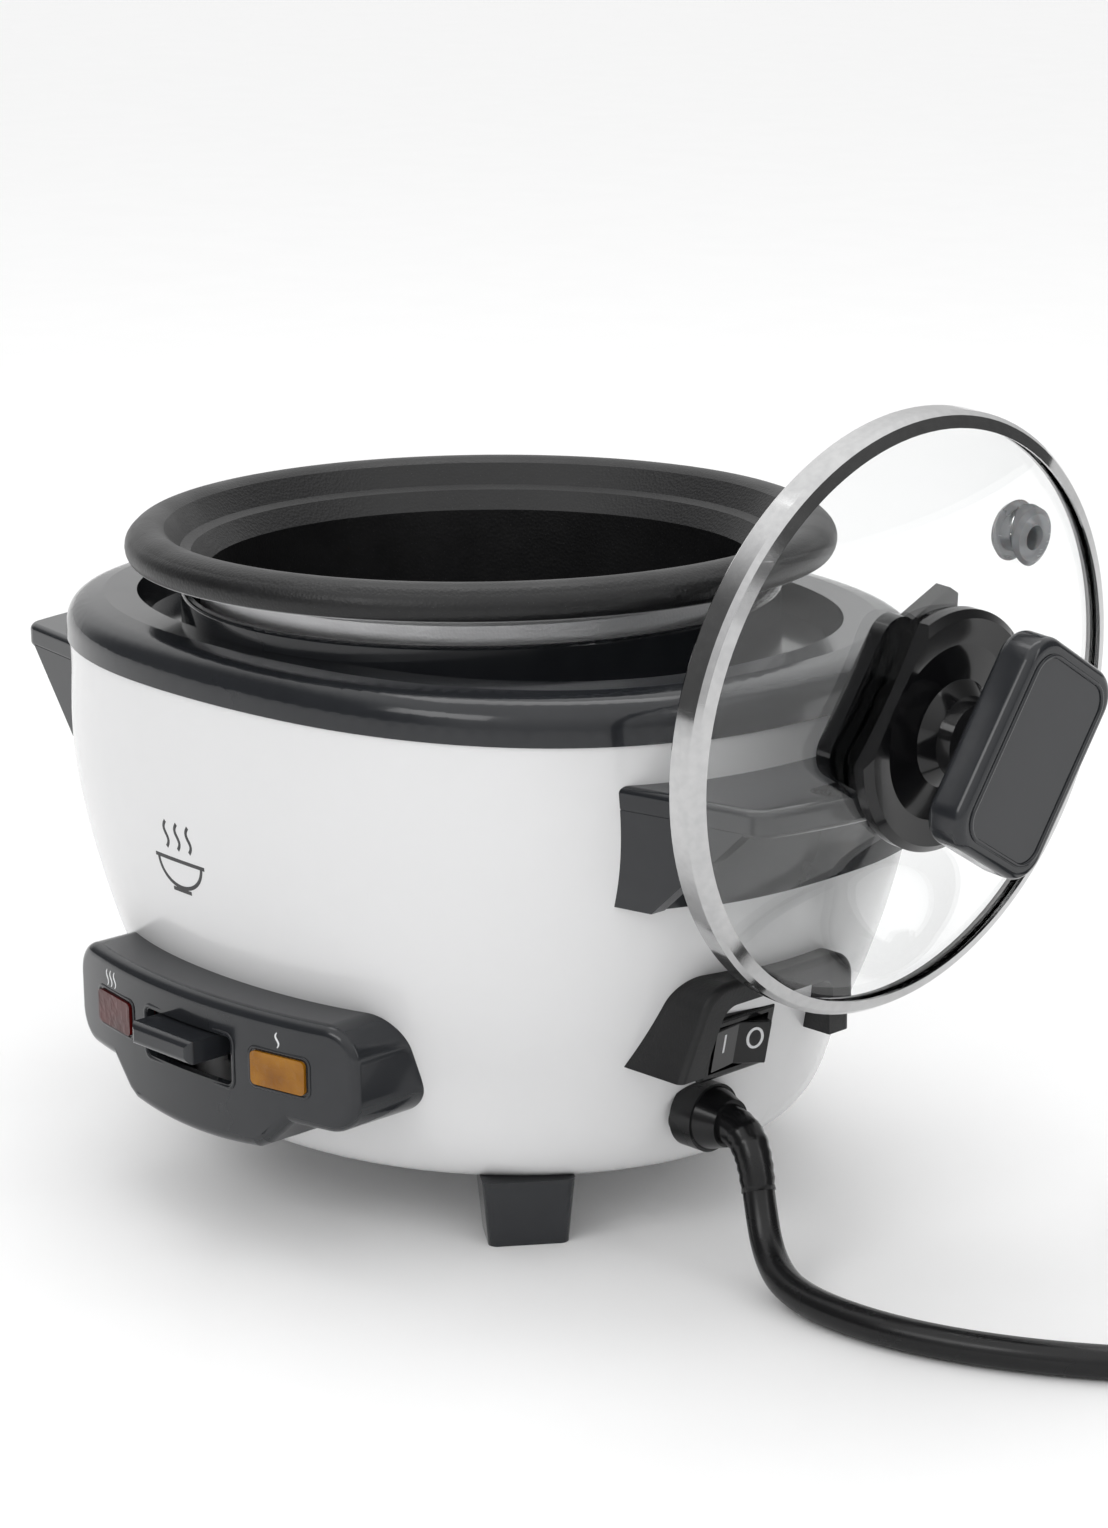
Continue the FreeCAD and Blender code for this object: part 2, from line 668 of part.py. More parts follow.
FOOT_TALL = mm["shell_bottom"] + 4.0
foot_screws = []
for turn, inner in enumerate(foot_screw_spots()):
    direction = mm["foot_first"] + 120 * turn
    angle = math.radians(direction)
    spot = V(mm["foot_radius"] * math.cos(angle), mm["foot_radius"] * math.sin(angle), 0)
    block = foot_shape()
    block.Placement = FreeCAD.Placement(spot, FreeCAD.Rotation(V(0, 0, 1), direction))
    block = block.cut(shell_solid)
    block = block.cut(centred_block(-200, 200, -200, 200, PLATE_LOW, 60))
    bore = Part.makeCylinder(mm["screw_radius"], FOOT_TALL, inner + V(0, 0, 4.0))
    sink = Part.makeCylinder(mm["screw_head"] + 0.4, 4.0, inner)
    block = block.cut([bore, sink])
    solid(block, f"foot_{turn + 1}")
    screw = Part.makeCylinder(mm["screw_radius"], PLATE_LOW + mm["plate_thick"] + 1.0 - 4.0,
                              inner + V(0, 0, 4.0))
    head = Part.makeCylinder(mm["screw_head"], 1.8, inner + V(0, 0, 2.2))
    foot_screws.append(screw.fuse(head))
solid(Part.makeCompound(foot_screws), "foot_screws")


# ---------------------------------------------------------------------------
# Handles: a lip over a scooped hollow, with a wing at each end
# ---------------------------------------------------------------------------
def handle_block(low, high, inset=0.0):
    """The handle's plan outline run between two heights and back into the shell."""
    half, tip = mm["handle_half"] - inset, mm["handle_tip_half"] - inset
    corner, reach, back = mm["handle_corner"] - inset, mm["handle_reach"] - inset, 60.0
    a, b = V(back, -half - 5, low), V(corner + 0.8, -tip, low)
    c, d = V(b.x, -b.y, low), V(a.x, -a.y, low)
    edges = [line(a, b), arc(b, V(reach, 0, low), c), line(c, d), line(d, a)]
    block = Part.Face(Part.Wire(edges)).extrude(V(0, 0, high - low))
    corners = [e for e in block.Edges if e.BoundBox.ZLength > 1 and e.BoundBox.XMin > corner]
    return block.makeFillet(5.5, corners)


def handle(wall):
    """One side handle, drawn on +X and fitted to the wall it sits on."""
    top, tall, lip = mm["handle_top"], mm["handle_tall"], mm["handle_lip"]
    low = top - tall
    prism = handle_block(low, top)
    plate = prism.common(stack([shell_section(low - 2 + i * (tall + 4) / 3, -mm["handle_back"])
                                for i in range(4)]))
    plate = plate.common(centred_block(60, 200, -100, 100, low, top - lip + 1))
    lip_block = handle_block(top - lip, top)
    lip_block = lip_block.makeFillet(1.6, [e for e in lip_block.Edges
                                           if e.BoundBox.ZLength < 0.01 and e.BoundBox.XMax > 61])
    gusset = flat_face([V(60, -60, low), V(shell_half(low)[0] - 3, -60, low),
                        V(mm["handle_corner"] - 3, -60, top - lip + 1), V(60, -60, top - lip + 1)])
    wings = gusset.extrude(V(0, 120, 0)).common(prism)
    wings = wings.cut(handle_block(low - 1, top, mm["handle_wing"]))
    block = lip_block.fuse(wings).fuse(plate)
    half_wide = mm["slot_wide"] / 2
    opening = centred_block(mm["slot_reach"] - half_wide, mm["slot_reach"] + half_wide,
                            -mm["slot_half"], mm["slot_half"], low, top + 5)
    block = block.cut(opening.makeFillet(3.0, [e for e in opening.Edges if e.BoundBox.ZLength > 10]))
    block = block.cut(wall)
    bores = [screw_rod(spot, way, mm["screw_radius"]) for spot, way in handle_screw_spots() if way.x > 0]
    return block.cut(bores)


HALF_TURN = FreeCAD.Placement(V(0, 0, 0), FreeCAD.Rotation(V(0, 0, 1), 180))
turned_shell = shell_solid.copy()
turned_shell.rotate(V(0, 0, 0), V(0, 0, 1), 180)
solid(handle(shell_solid), "handle_right")
solid(handle(turned_shell), "handle_left", HALF_TURN)

screws = []
for spot, way in handle_screw_spots():
    head = Part.makeCylinder(mm["screw_head"], 2.0, spot - way * 6.0, way)
    screws.append(screw_rod(spot, way, mm["screw_radius"]).fuse(head))
solid(Part.makeCompound(screws), "handle_screws")


# ---------------------------------------------------------------------------
# Control panel, lamps and their lenses
# ---------------------------------------------------------------------------
def panel_face(inset, depth):
    """The panel's outline in its front plane, drawn in by inset, at a distance in front."""
    half, top, low = mm["panel_half"] - inset, mm["panel_top"] - inset, mm["panel_low"] + inset
    tab, tab_low = mm["tab_half"] - inset * 0.4, mm["tab_low"] + inset
    shoulder = tab + 6.5
    corner = mm["panel_round"] - inset * 0.5
    slant = corner * (1 - math.sqrt(0.5))
    y = -depth

    def p(x, z):
        return V(x, y, z)

    edges = [
        line(p(-half + corner, top), p(half - corner, top)),
        arc(p(half - corner, top), p(half - slant, top - slant), p(half, top - corner)),
        line(p(half, top - corner), p(half, low + corner)),
        arc(p(half, low + corner), p(half - slant, low + slant), p(half - corner, low)),
        line(p(half - corner, low), p(shoulder, low)),
        line(p(shoulder, low), p(tab, tab_low + 1.5)),
        line(p(tab, tab_low + 1.5), p(tab - 3, tab_low)),
        arc(p(tab - 3, tab_low), p(0, tab_low - 1.2), p(-tab + 3, tab_low)),
        line(p(-tab + 3, tab_low), p(-tab, tab_low + 1.5)),
        line(p(-tab, tab_low + 1.5), p(-shoulder, low)),
        line(p(-shoulder, low), p(-half + corner, low)),
        arc(p(-half + corner, low), p(-half + slant, low + slant), p(-half, low + corner)),
        line(p(-half, low + corner), p(-half, top - corner)),
        arc(p(-half, top - corner), p(-half + slant, top - slant), p(-half + corner, top)),
    ]
    return Part.Face(Part.Wire(edges))


def panel_housing():
    """The bowed hollow panel with its lever slot and lamp windows."""
    front, curve, wall = mm["panel_front"], mm["panel_curve"], mm["panel_wall"]
    depth = front + 5
    blank = panel_face(0.0, depth).extrude(V(0, 60, 0))
    bow = Part.makeCylinder(curve, 100, V(0, curve - front, 0))
    body = blank.common(bow)
    rim = [e for e in body.Edges if e.BoundBox.YMin < -60 and e.BoundBox.YMax < -front + 20]
    body = body.makeFillet(2.6, rim)
    hollow = panel_face(wall, depth).extrude(V(0, 60, 0)).common(
        Part.makeCylinder(curve - wall, 100, V(0, curve - front, 0)))
    body = body.cut(hollow)
    body = body.cut(shell_solid)
    slot = centred_block(-mm["slot_long_half"], mm["slot_long_half"], -front - 5, -front + 20,
                         mm["slot_height"] - mm["slot_tall_half"], mm["slot_height"] + mm["slot_tall_half"])
    slot = slot.makeFillet(1.5, [e for e in slot.Edges if e.BoundBox.YLength > 10])
    body = body.cut(slot)
    for side in (-1, 1):
        body = body.cut(lens_block(side, 0.0))
    return body


def lens_block(side, shrink):
    """The room of a lamp lens through the panel's front, square to its curve."""
    front, curve = mm["panel_front"], mm["panel_curve"]
    half, tall = mm["lens_long"] / 2 - shrink, mm["lens_tall"] / 2 - shrink
    turn = math.degrees(math.asin(mm["lens_side"] / curve))
    block = centred_block(-half, half, -curve - 0.6, -curve + 6.0, -tall, tall)
    block = block.makeFillet(1.2, [e for e in block.Edges if e.BoundBox.YLength > 5])
    block.rotate(V(0, 0, 0), V(0, 0, 1), side * turn)
    return block.translated(V(0, curve - front, mm["lens_height"]))


solid(panel_housing(), "panel_housing")
LAMPS = {-1: "red", 1: "amber"}
BULB_RADIUS = 2.2
BULB_LONG = 8.0
BULB_BACK = 11.8
for side, colour in LAMPS.items():
    solid(lens_block(side, 0.0), f"{colour}_lens")
    middle = V(side * mm["lens_side"], -mm["panel_front"] + BULB_BACK, mm["lens_height"])
    bulb = Part.makeCylinder(BULB_RADIUS, BULB_LONG, middle - V(BULB_LONG / 2, 0, 0), V(1, 0, 0))
    tip = Part.makeSphere(BULB_RADIUS, middle + V(BULB_LONG / 2, 0, 0))
    solid(bulb.fuse(tip).cut(shell_solid), f"{colour}_bulb")


# ---------------------------------------------------------------------------
# Cook lever, its arm, bracket and pin
# ---------------------------------------------------------------------------
lever_high = size["slot_height"] + size["slot_tall_half"] - 0.45
lever_low = lever_high - size["lever_thick"]
TONGUE_END = 84.0
paddle = box("paddle_block", (-size["lever_half"], -size["lever_front"], lever_low),
             (size["lever_half"], -(size["panel_front"] - 8.0), lever_high))
tongue_mid = lever_low + size["lever_thick"] / 2
tongue_room = box("tongue_room", (-size["arm_half"], -TONGUE_END, tongue_mid - size["arm_thick"] / 2),
                  (size["arm_half"], -(size["panel_front"] - 9.0), tongue_mid + size["arm_thick"] / 2))
paddle_round = rounded("paddle_round", paddle, 1.6, lambda e: e.BoundBox.YMax < -mm["lever_front"] + 0.1)
keep(cut("cook_lever", paddle_round, tongue_room), "cook_lever")

RISER = float(well_outer) + 1.0
arm_low = size["pivot_height"] - 2.1
arm_strips = [
    box("arm_run", (-size["arm_half"], -RISER, arm_low), (size["arm_half"], 3.0, arm_low + size["arm_thick"])),
    box("arm_riser", (-size["arm_half"], -RISER - size["arm_thick"], arm_low),
        (size["arm_half"], -RISER, tongue_mid + size["arm_thick"] / 2)),
    box("arm_tongue", (-size["arm_half"], -TONGUE_END, tongue_mid - size["arm_thick"] / 2),
        (size["arm_half"], -RISER, tongue_mid + size["arm_thick"] / 2)),
]
sideways = FreeCAD.Rotation(V(0, 1, 0), 90)
eye = cylinder("arm_eye", size["pin_radius"] + 1.4, 2 * size["arm_half"], -size["arm_half"],
               -size["pivot_side"], size["pivot_height"], sideways)
eye_bore = cylinder("arm_eye_bore", size["pin_radius"] + size["pin_play"], 2 * size["arm_half"] + 4,
                    -size["arm_half"] - 2, -size["pivot_side"], size["pivot_height"], sideways)
keep(cut("lever_arm", fuse("arm_blank", arm_strips + [eye]), eye_bore), "lever_arm")

ear_gap = 0.5
plate_top = PLATE_LOW + mm["plate_thick"]
ears = []
for side in (-1, 1):
    inner = size["arm_half"] + ear_gap
    low_x, high_x = (inner, inner + 1.5) if side > 0 else (-(inner + 1.5), -inner)
    ears.append(box(f"ear_{side + 1}", (low_x, -(size["pivot_side"] + 4), plate_top),
                    (high_x, -(size["pivot_side"] - 4), size["pivot_height"] + 3.5)))
sole = box("ear_sole", (-(size["arm_half"] + ear_gap + 1.5), -(size["pivot_side"] + 4), plate_top),
           (size["arm_half"] + ear_gap + 1.5, -(size["pivot_side"] - 4), plate_top + 1.2))
pin_room = cylinder("pin_room", size["pin_radius"], 24, -12, -size["pivot_side"], size["pivot_height"], sideways)
keep(cut("lever_bracket", fuse("bracket_blank", ears + [sole]), pin_room), "lever_bracket")
keep(cylinder("lever_pin", size["pin_radius"], 2 * (size["arm_half"] + ear_gap + 2.2),
              -(size["arm_half"] + ear_gap + 2.2), -size["pivot_side"], size["pivot_height"], sideways),
     "lever_pin")

switch_box = box("micro_body", (11.0, -56.0, plate_top), (17.5, -36.0, plate_top + 10))
switch_tab = box("micro_tabs", (13.5, -52.0, plate_top + 10), (14.3, -40.0, plate_top + 13))
keep(fuse("micro_switch", [switch_box, switch_tab]), "micro_switch")

block = box("block_body", (20.0, 18.0, plate_top), (48.0, 32.0, plate_top + 11))
wells = [cylinder(f"block_well{i}", 2.0, 8, 25.0 + 9.0 * i, 25.0, plate_top + 5) for i in range(3)]
keep(cut("terminal_block", block, fuse("block_wells", wells)), "terminal_block")

keep(cylinder("thermal_fuse", 1.8, 16, -38, -20, plate_top + 1.8, sideways), "thermal_fuse")



# ---------------------------------------------------------------------------
# Rocker switch under its hood, and the cord's gland
# ---------------------------------------------------------------------------
ARC_ROOM = 2.0


def hood_prism(inset, low_drop):
    """The arch's outline, drawn in by inset and open below, run from the wall to the front."""
    centre, top, low = mm["hood_centre"], mm["hood_top"] - inset, mm["hood_bottom"] - low_drop
    half_top, half_low = mm["hood_half_top"] - inset, mm["hood_half_low"] - inset
    corner = 6.0 - inset * 0.5
    run = V(half_low - half_top, 0, mm["hood_top"] - mm["hood_bottom"])
    run = run / run.Length * corner

    def p(y, z):
        return V(60, centre + y, z)

    shoulder = half_top + run.x
    edges = [
        line(p(-half_low, low), p(-shoulder, top - run.z)),
        arc(p(-shoulder, top - run.z), p(-half_top + corner * 0.22, top - corner * 0.26),
            p(-half_top + corner, top)),
        line(p(-half_top + corner, top), p(half_top - corner, top)),
        arc(p(half_top - corner, top), p(half_top - corner * 0.22, top - corner * 0.26),
            p(shoulder, top - run.z)),
        line(p(shoulder, top - run.z), p(half_low, low)),
        line(p(half_low, low), p(-half_low, low)),
    ]
    arch = Part.Face(Part.Wire(edges)).extrude(V(mm["hood_front"] - 60, 0, 0))
    ahead = Part.makeBox(40, 200, 200, V(0, -100, -150))
    ahead.rotate(V(0, 0, 0), V(0, 1, 0), mm["switch_lean"])
    return arch.cut(ahead.translated(V(mm["hood_front"], 0, mm["hood_top"] + ARC_ROOM)))


def switch_hood():
    """The arch over the switch, open below, its front leaning with the wall."""
    outside = hood_prism(0.0, 0.0)
    lean_x = math.cos(math.radians(mm["switch_lean"]))
    face = min(outside.Faces, key=lambda f: abs(f.normalAt(0, 0).x - lean_x))
    outside = outside.makeFillet(1.4, [e for e in face.Edges if e.BoundBox.ZMax > mm["hood_bottom"] + 1])
    return outside.cut(hood_prism(mm["hood_wall"], 5.0)).cut(shell_solid)


solid(switch_hood(), "switch_hood")

ROCKER_PLAY = 1.0
PIVOT_DEEP = 2.5
TRUNNION = 1.2


def switch_housing():
    """The switch's bezel and body, with the rocker's room and its two pivot holes."""
    long, tall, thick, deep = mm["bezel_long"] / 2, mm["bezel_tall"] / 2, mm["bezel_thick"], mm["switch_deep"]
    bezel = centred_block(-thick, 0, -long, long, -tall, tall)
    bezel = bezel.makeFillet(1.0, [e for e in bezel.Edges if e.BoundBox.XMin > -0.01 or e.BoundBox.XLength > 1])
    inset = BEZEL_LAP + 0.3
    body = centred_block(-thick - deep, -thick, -long + inset, long - inset, -tall + inset, tall - inset)
    room_long, room_tall = mm["rocker_long"] / 2 + ROCKER_PLAY, mm["rocker_tall"] / 2 + 0.4
    room = centred_block(-9.5, 5, -room_long, room_long, -room_tall, room_tall)
    pivot = Part.makeCylinder(TRUNNION + 0.05, mm["rocker_tall"] + 1.9,
                              V(-PIVOT_DEEP, 0, -mm["rocker_tall"] / 2 - 0.95))
    return on_wall(bezel.fuse(body).cut([room, pivot]))


solid(switch_housing().cut(parts[0].Shape), "switch_housing")


def rocker():
    """A concave rocker on two trunnions, its +Y half standing out and its -Y half pressed in."""
    half, tall = mm["rocker_long"] / 2, mm["rocker_tall"]
    outline = [V(4.2, -half, 0), V(2.2, 0, 0), V(4.2, half, 0), V(-2.4, half - 0.9, 0),
               V(-4.6, 0, 0), V(-2.4, -half + 0.9, 0)]
    body = flat_face(outline).extrude(V(0, 0, tall)).translated(V(0, 0, -tall / 2))
    ends = [e for e in body.Edges if e.BoundBox.XMin > 1 and e.BoundBox.ZLength < 0.01]
    body = body.makeFillet(0.5, ends)
    body = body.fuse(Part.makeCylinder(TRUNNION, tall + 1.3, V(0, 0, -tall / 2 - 0.65)))
    body.rotate(V(0, 0, 0), V(0, 0, 1), -10)
    return on_wall(body.translated(V(-PIVOT_DEEP, 0, 0)))


solid(rocker(), "rocker")
tabs = [on_wall(centred_block(-26, -18.2, y - 0.4, y + 0.4, -2.4, 2.4)) for y in (-6.0, 0.0, 6.0)]
solid(Part.makeCompound(tabs), "switch_tabs")

CORD_ROUTE = [
    (92.0, -17.0, 30.5), (98.0, -17.0, 30.5), (104.3, -18.4, 25.9), (108.2, -19.3, 16.8),
    (115.9, -21.2, 9.2), (126.0, -23.4, 5.0), (138.4, -24.6, 3.7), (158.0, -23.6, 3.6),
    (180.6, -16.5, 3.6), (201.5, -2.3, 3.6), (216.0, 17.7, 3.6), (223.6, 40.6, 3.6),
    (226.6, 63.0, 3.6), (226.4, 82.0, 3.6),
]
GLAND_BACK = 77.0
GLAND_FRONT = 95.0
outwards = FreeCAD.Rotation(V(0, 1, 0), 90)
gland_y, gland_z, gland_r = size["gland_side"], size["gland_height"], size["gland_radius"]
gland_parts = [
    cylinder("gland_neck", gland_r - 2.0, 8, GLAND_BACK, gland_y, gland_z, outwards),
    cylinder("gland_collar", gland_r, 6.0, GLAND_BACK + 7, gland_y, gland_z, outwards),
    cone("gland_sleeve", gland_r - 0.6, gland_r - 2.3, GLAND_FRONT - GLAND_BACK - 13, GLAND_BACK + 13,
         gland_y, gland_z, outwards),
]
doc.recompute()
gland = gland_parts[0].Shape.multiFuse([item.Shape for item in gland_parts[1:]])
lead_room = Part.makeCylinder(mm["cord_width"] / 2, 10, V(CORD_ROUTE[0][0], mm["gland_side"],
                                                          mm["gland_height"]), V(1, 0, 0))
solid(gland.cut([parts[0].Shape, lead_room]), "cord_gland")


# ---------------------------------------------------------------------------
# Lid, drawn with its axis on Z and knob up, then parked on the +X handle
# ---------------------------------------------------------------------------
lean = math.radians(mm["lid_lean"])
LID_PLACE = FreeCAD.Placement(
    V(mm["lid_reach"], 0, mm["lid_height"]),
    FreeCAD.Rotation(V(0, 1, 0), V(math.sin(lean), 0, math.cos(lean)),
                     V(math.cos(lean), 0, -math.sin(lean)), "ZYX"))
KNOB_TURN = FreeCAD.Placement(V(0, 0, 0), FreeCAD.Rotation(V(0, 0, 1), -mm["lid_turn"]))


def dome(offset):
    """The solid under a dome that meets the rim plane at the rim, raised by offset."""
    edge, rise = mm["lid_radius"] - 1.3, mm["dome_rise"] - mm["glass_thick"]
    sphere = (edge * edge + rise * rise) / (2 * rise)
    half = edge / 2
    middle = math.sqrt(sphere * sphere - half * half) - (sphere - rise)
    top = V(0, 0, rise + offset)
    outline = [line(V(0, 0, -1), V(edge, 0, -1)), line(V(edge, 0, -1), V(edge, 0, offset)),
               arc(V(edge, 0, offset), V(half, 0, middle + offset), top), line(top, V(0, 0, -1))]
    return Part.Face(Part.Wire(outline)).revolve(V(0, 0, 0), V(0, 0, 1), 360)


vent_angle = math.radians(90 - mm["vent_turn"])
VENT = V(mm["vent_radius"] * math.cos(vent_angle), mm["vent_radius"] * math.sin(vent_angle), 0)
VENT_HOLE = 4.6
SCREW = 2.0


def lid_glass():
    """The domed pane with its vent hole and screw hole."""
    pane = dome(mm["glass_thick"]).cut(dome(0.1))
    below = centred_block(-100, 100, -100, 100, -5, 0.1)
    pane = pane.cut(below)
    return pane.cut([Part.makeCylinder(VENT_HOLE, 40, VENT), Part.makeCylinder(SCREW + 0.4, 40)])


def lid_rim():
    """A rolled channel that grips the glass, with a skirt below."""
    edge = mm["lid_radius"]
    high = mm["glass_thick"]
    low = -(mm["rim_wide"] - high)
    section = [(edge - 1.2, low), (edge - 0.5, low), (edge, low + 0.6), (edge, high - 0.2),
               (edge - 0.9, high + 1.0), (edge - 3.4, high + 1.9), (edge - 3.4, high + 1.3),
               (edge - 1.2, high + 0.6), (edge - 1.2, 0.0), (edge - 3.4, 0.0),
               (edge - 3.4, -0.8), (edge - 1.2, -0.8)]
    return flat_face([V(r, 0, z) for r, z in section]).revolve(V(0, 0, 0), V(0, 0, 1), 360)


def vent_grommet():
    """The soft ring that lines the vent hole."""
    seat = mm["dome_rise"] * (1 - (mm["vent_radius"] / mm["lid_radius"]) ** 2) - mm["glass_thick"] / 2
    section = [(2.6, seat - 3.4), (5.6, seat - 3.4), (6.4, seat - 2.2), (4.4, seat - 2.2), (4.4, seat + 2.6),
               (6.6, seat + 2.6), (6.2, seat + 4.4), (5.0, seat + 5.2), (2.6, seat + 5.2)]
    ring = flat_face([V(r, 0, z) for r, z in section]).revolve(V(0, 0, 0), V(0, 0, 1), 360)
    return ring.translated(VENT).cut(dome(mm["glass_thick"]).cut(dome(0.1)).cut(
        Part.makeCylinder(VENT_HOLE, 40, VENT)))


def knob_base():
    """A dished flange with two flats, and a waisted stem."""
    k, rim, stem = mm["dome_rise"], mm["flange_radius"], mm["stem_radius"]
    top = mm["stem_top"]
    section = [(SCREW + 0.2, k - 5), (rim, k - 5), (rim, k + 0.8), (rim - 1.6, k + 2.2), (rim - 7, k + 1.4),
               (stem + 3.4, k + 2.4), (stem + 0.6, k + 5.0), (stem, k + 8.0), (stem + 0.8, top - 2.5),
               (stem + 2.6, top), (SCREW + 0.2, top)]
    body = flat_face([V(r, 0, z) for r, z in section]).revolve(V(0, 0, 0), V(0, 0, 1), 360)
    half = mm["flange_half"]
    return body.common(centred_block(-half, half, -60, 60, 0, 60)).cut(dome(mm["glass_thick"]))


GRIP_BORDER = 4.0
INSET_DEEP = 0.6


def grip_inset(growth):
    """The flat plate let into the grip's face."""
    x, y = mm["grip_wide"] / 2 - GRIP_BORDER + growth, mm["grip_long"] / 2 - GRIP_BORDER + growth
    top = mm["stem_top"] + mm["grip_thick"]
    plate = centred_block(-x, x, -y, y, top - INSET_DEEP, top)
    return plate.makeFillet(4.5, [e for e in plate.Edges if e.BoundBox.ZLength > 0.1])


def knob_grip():
    """The grip block with a recess for its plate."""
    x, y, low = mm["grip_wide"] / 2, mm["grip_long"] / 2, mm["stem_top"]
    block = centred_block(-x, x, -y, y, low, low + mm["grip_thick"])
    block = block.makeFillet(7.0, [e for e in block.Edges if e.BoundBox.ZLength > 1])
    block = block.makeFillet(2.0, [e for e in block.Edges if e.BoundBox.ZLength < 0.01])
    return block.cut(grip_inset(0.0))


def lid_hanger():
    """A rounded plate with a nose at one end, on a post under the glass."""
    x, y, thick = mm["hanger_wide"] / 2, mm["hanger_long"] / 2, mm["hanger_thick"]
    plate = centred_block(-x, x, -y, y, -thick, 0)
    plate = plate.makeFillet(6.0, [e for e in plate.Edges if e.BoundBox.ZLength > 1])
    tip = mm["hanger_nose"]
    nose = flat_face([V(-x + 4, y - 4, -thick), V(x - 4, y - 4, -thick),
                      V(1.6, tip, -thick), V(-1.6, tip, -thick)])
    plate = plate.fuse(nose.extrude(V(0, 0, thick)))
    post = Part.makeCylinder(6.5, mm["dome_rise"], V(0, 0, -thick))
    body = plate.fuse(post).cut(Part.makeCylinder(200, 60).cut(dome(0.1)))
    return body.cut(Part.makeCylinder(SCREW + 0.2, 60, V(0, 0, -20)))


def knob_screw():
    """The screw that clamps the knob, the pane and the hanger."""
    head = Part.makeCylinder(4.0, 2.2, V(0, 0, -mm["hanger_thick"] - 2.2))
    shank = Part.makeCylinder(SCREW, mm["stem_top"] - 2.0 + mm["hanger_thick"], V(0, 0, -mm["hanger_thick"]))
    return head.fuse(shank)


LID = {"lid_glass": lid_glass(), "lid_rim": lid_rim(), "vent_grommet": vent_grommet()}
KNOB = {"knob_base": knob_base(), "knob_grip": knob_grip(), "grip_inset": grip_inset(0.0),
        "lid_hanger": lid_hanger(), "knob_screw": knob_screw()}
for label, shape in LID.items():
    solid(shape, label, LID_PLACE)
for label, shape in KNOB.items():
    solid(shape, label, LID_PLACE * KNOB_TURN)


# ---------------------------------------------------------------------------
# Mains cord: a free lead from the gland along the floor to its coil and plug
# ---------------------------------------------------------------------------
ARC_SHARE = 0.45


def cord_path(route):
    """Straight runs joined by tangent arcs, each as large as its two runs allow."""
    points = [V(*spot) for spot in route]
    edges, here = [], points[0]
    for before, corner, after in zip(points, points[1:], points[2:]):
        back, ahead = before - corner, after - corner
        turn = math.pi - back.getAngle(ahead)
        reach = ARC_SHARE * min(back.Length, ahead.Length)
        radius = reach / math.tan(turn / 2)
        start = corner + back.normalize() * reach
        end = corner + ahead.normalize() * reach
        inward = (back + ahead).normalize()
        middle = corner + inward * (math.hypot(radius, reach) - radius)
        edges.append(line(here, start))
        edges.append(arc(start, middle, end))
        print(f"cord radius {radius:.1f} mm, turn {math.degrees(turn):.0f} degrees")
        here = end
    edges.append(line(here, points[-1]))
    return Part.Wire(edges), sum(edge.Length for edge in edges)


route_wire, route_length = cord_path(CORD_ROUTE)
cord_radius = mm["cord_width"] / 2
cord_section = Part.Wire([Part.Circle(V(*CORD_ROUTE[0]), V(1, 0, 0), cord_radius).toShape()])
tube = route_wire.makePipeShell([cord_section], True, True)
ideal = math.pi * cord_radius ** 2 * route_length
print(f"cord tube {route_length:.1f} mm long, volume {tube.Volume / ideal:.4f} of section by length")
solid(tube, "mains_cord")

coil_centre = V(mm["coil_x"], mm["coil_y"], 0)
coil = Part.makeCylinder(mm["coil_mean"] + mm["coil_wide"] / 2, mm["coil_tall"], coil_centre)
coil = coil.cut(Part.makeCylinder(mm["coil_mean"] - mm["coil_wide"] / 2, mm["coil_tall"], coil_centre))
coil = coil.makeFillet(3.0, [e for e in coil.Edges if isinstance(e.Curve, Part.Circle)])
solid(coil, "cord_coil")

PLUG_AXIS = 12.0
PLUG_WIDE = 36.0
PLUG_LONG = 32.0
plug_x = mm["coil_x"] + mm["coil_mean"]
neck_start = mm["coil_y"] + 12.0
neck = Part.makeCone(4.6, 8.0, 26.0, V(plug_x, neck_start, PLUG_AXIS), V(0, 1, 0))
plug_box = centred_block(plug_x - PLUG_WIDE / 2, plug_x + PLUG_WIDE / 2, neck_start + 25,
                         neck_start + 25 + PLUG_LONG, PLUG_AXIS - 12, PLUG_AXIS + 12)
plug_box = plug_box.makeFillet(5.0, plug_box.Edges)
solid(neck.fuse(plug_box), "plug_body")
face_y = neck_start + 25 + PLUG_LONG
plug_pins = [Part.makeCylinder(2.4, 19.0, V(plug_x + side * 9.5, face_y, PLUG_AXIS), V(0, 1, 0))
             for side in (-1, 1)]
solid(Part.makeCompound(plug_pins), "plug_pins")


# ---------------------------------------------------------------------------
# Check every object, then write each sub-part
# ---------------------------------------------------------------------------
doc.recompute()
for obj in doc.Objects:
    if "Invalid" in obj.State or "Error" in obj.State:
        raise RuntimeError(f"{obj.Label} did not recompute: {obj.State}")
labels = [obj.Label for obj in parts]
if len(set(labels)) != len(labels):
    raise RuntimeError("two sub-parts share a name")
broken = [obj.Label for obj in parts
          if obj.Shape.isNull() or not obj.Shape.isValid() or obj.Shape.Volume <= 0]
if broken:
    raise RuntimeError(f"no valid solid: {', '.join(broken)}")

os.makedirs("parts", exist_ok=True)
for obj in parts:
    obj.Shape.exportStep(f"parts/{obj.Label}.step")
    box_ = obj.Shape.BoundBox
    print(f"{obj.Label:20s} {len(obj.Shape.Solids)} solids {obj.Shape.Volume / 1000:9.2f} cm3  "
          f"x {box_.XMin:.1f}..{box_.XMax:.1f} y {box_.YMin:.1f}..{box_.YMax:.1f} "
          f"z {box_.ZMin:.1f}..{box_.ZMax:.1f}")
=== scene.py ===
"""A small rice cooker with its glass lid hung on the side handle, dressed as a studio set."""

from __future__ import annotations

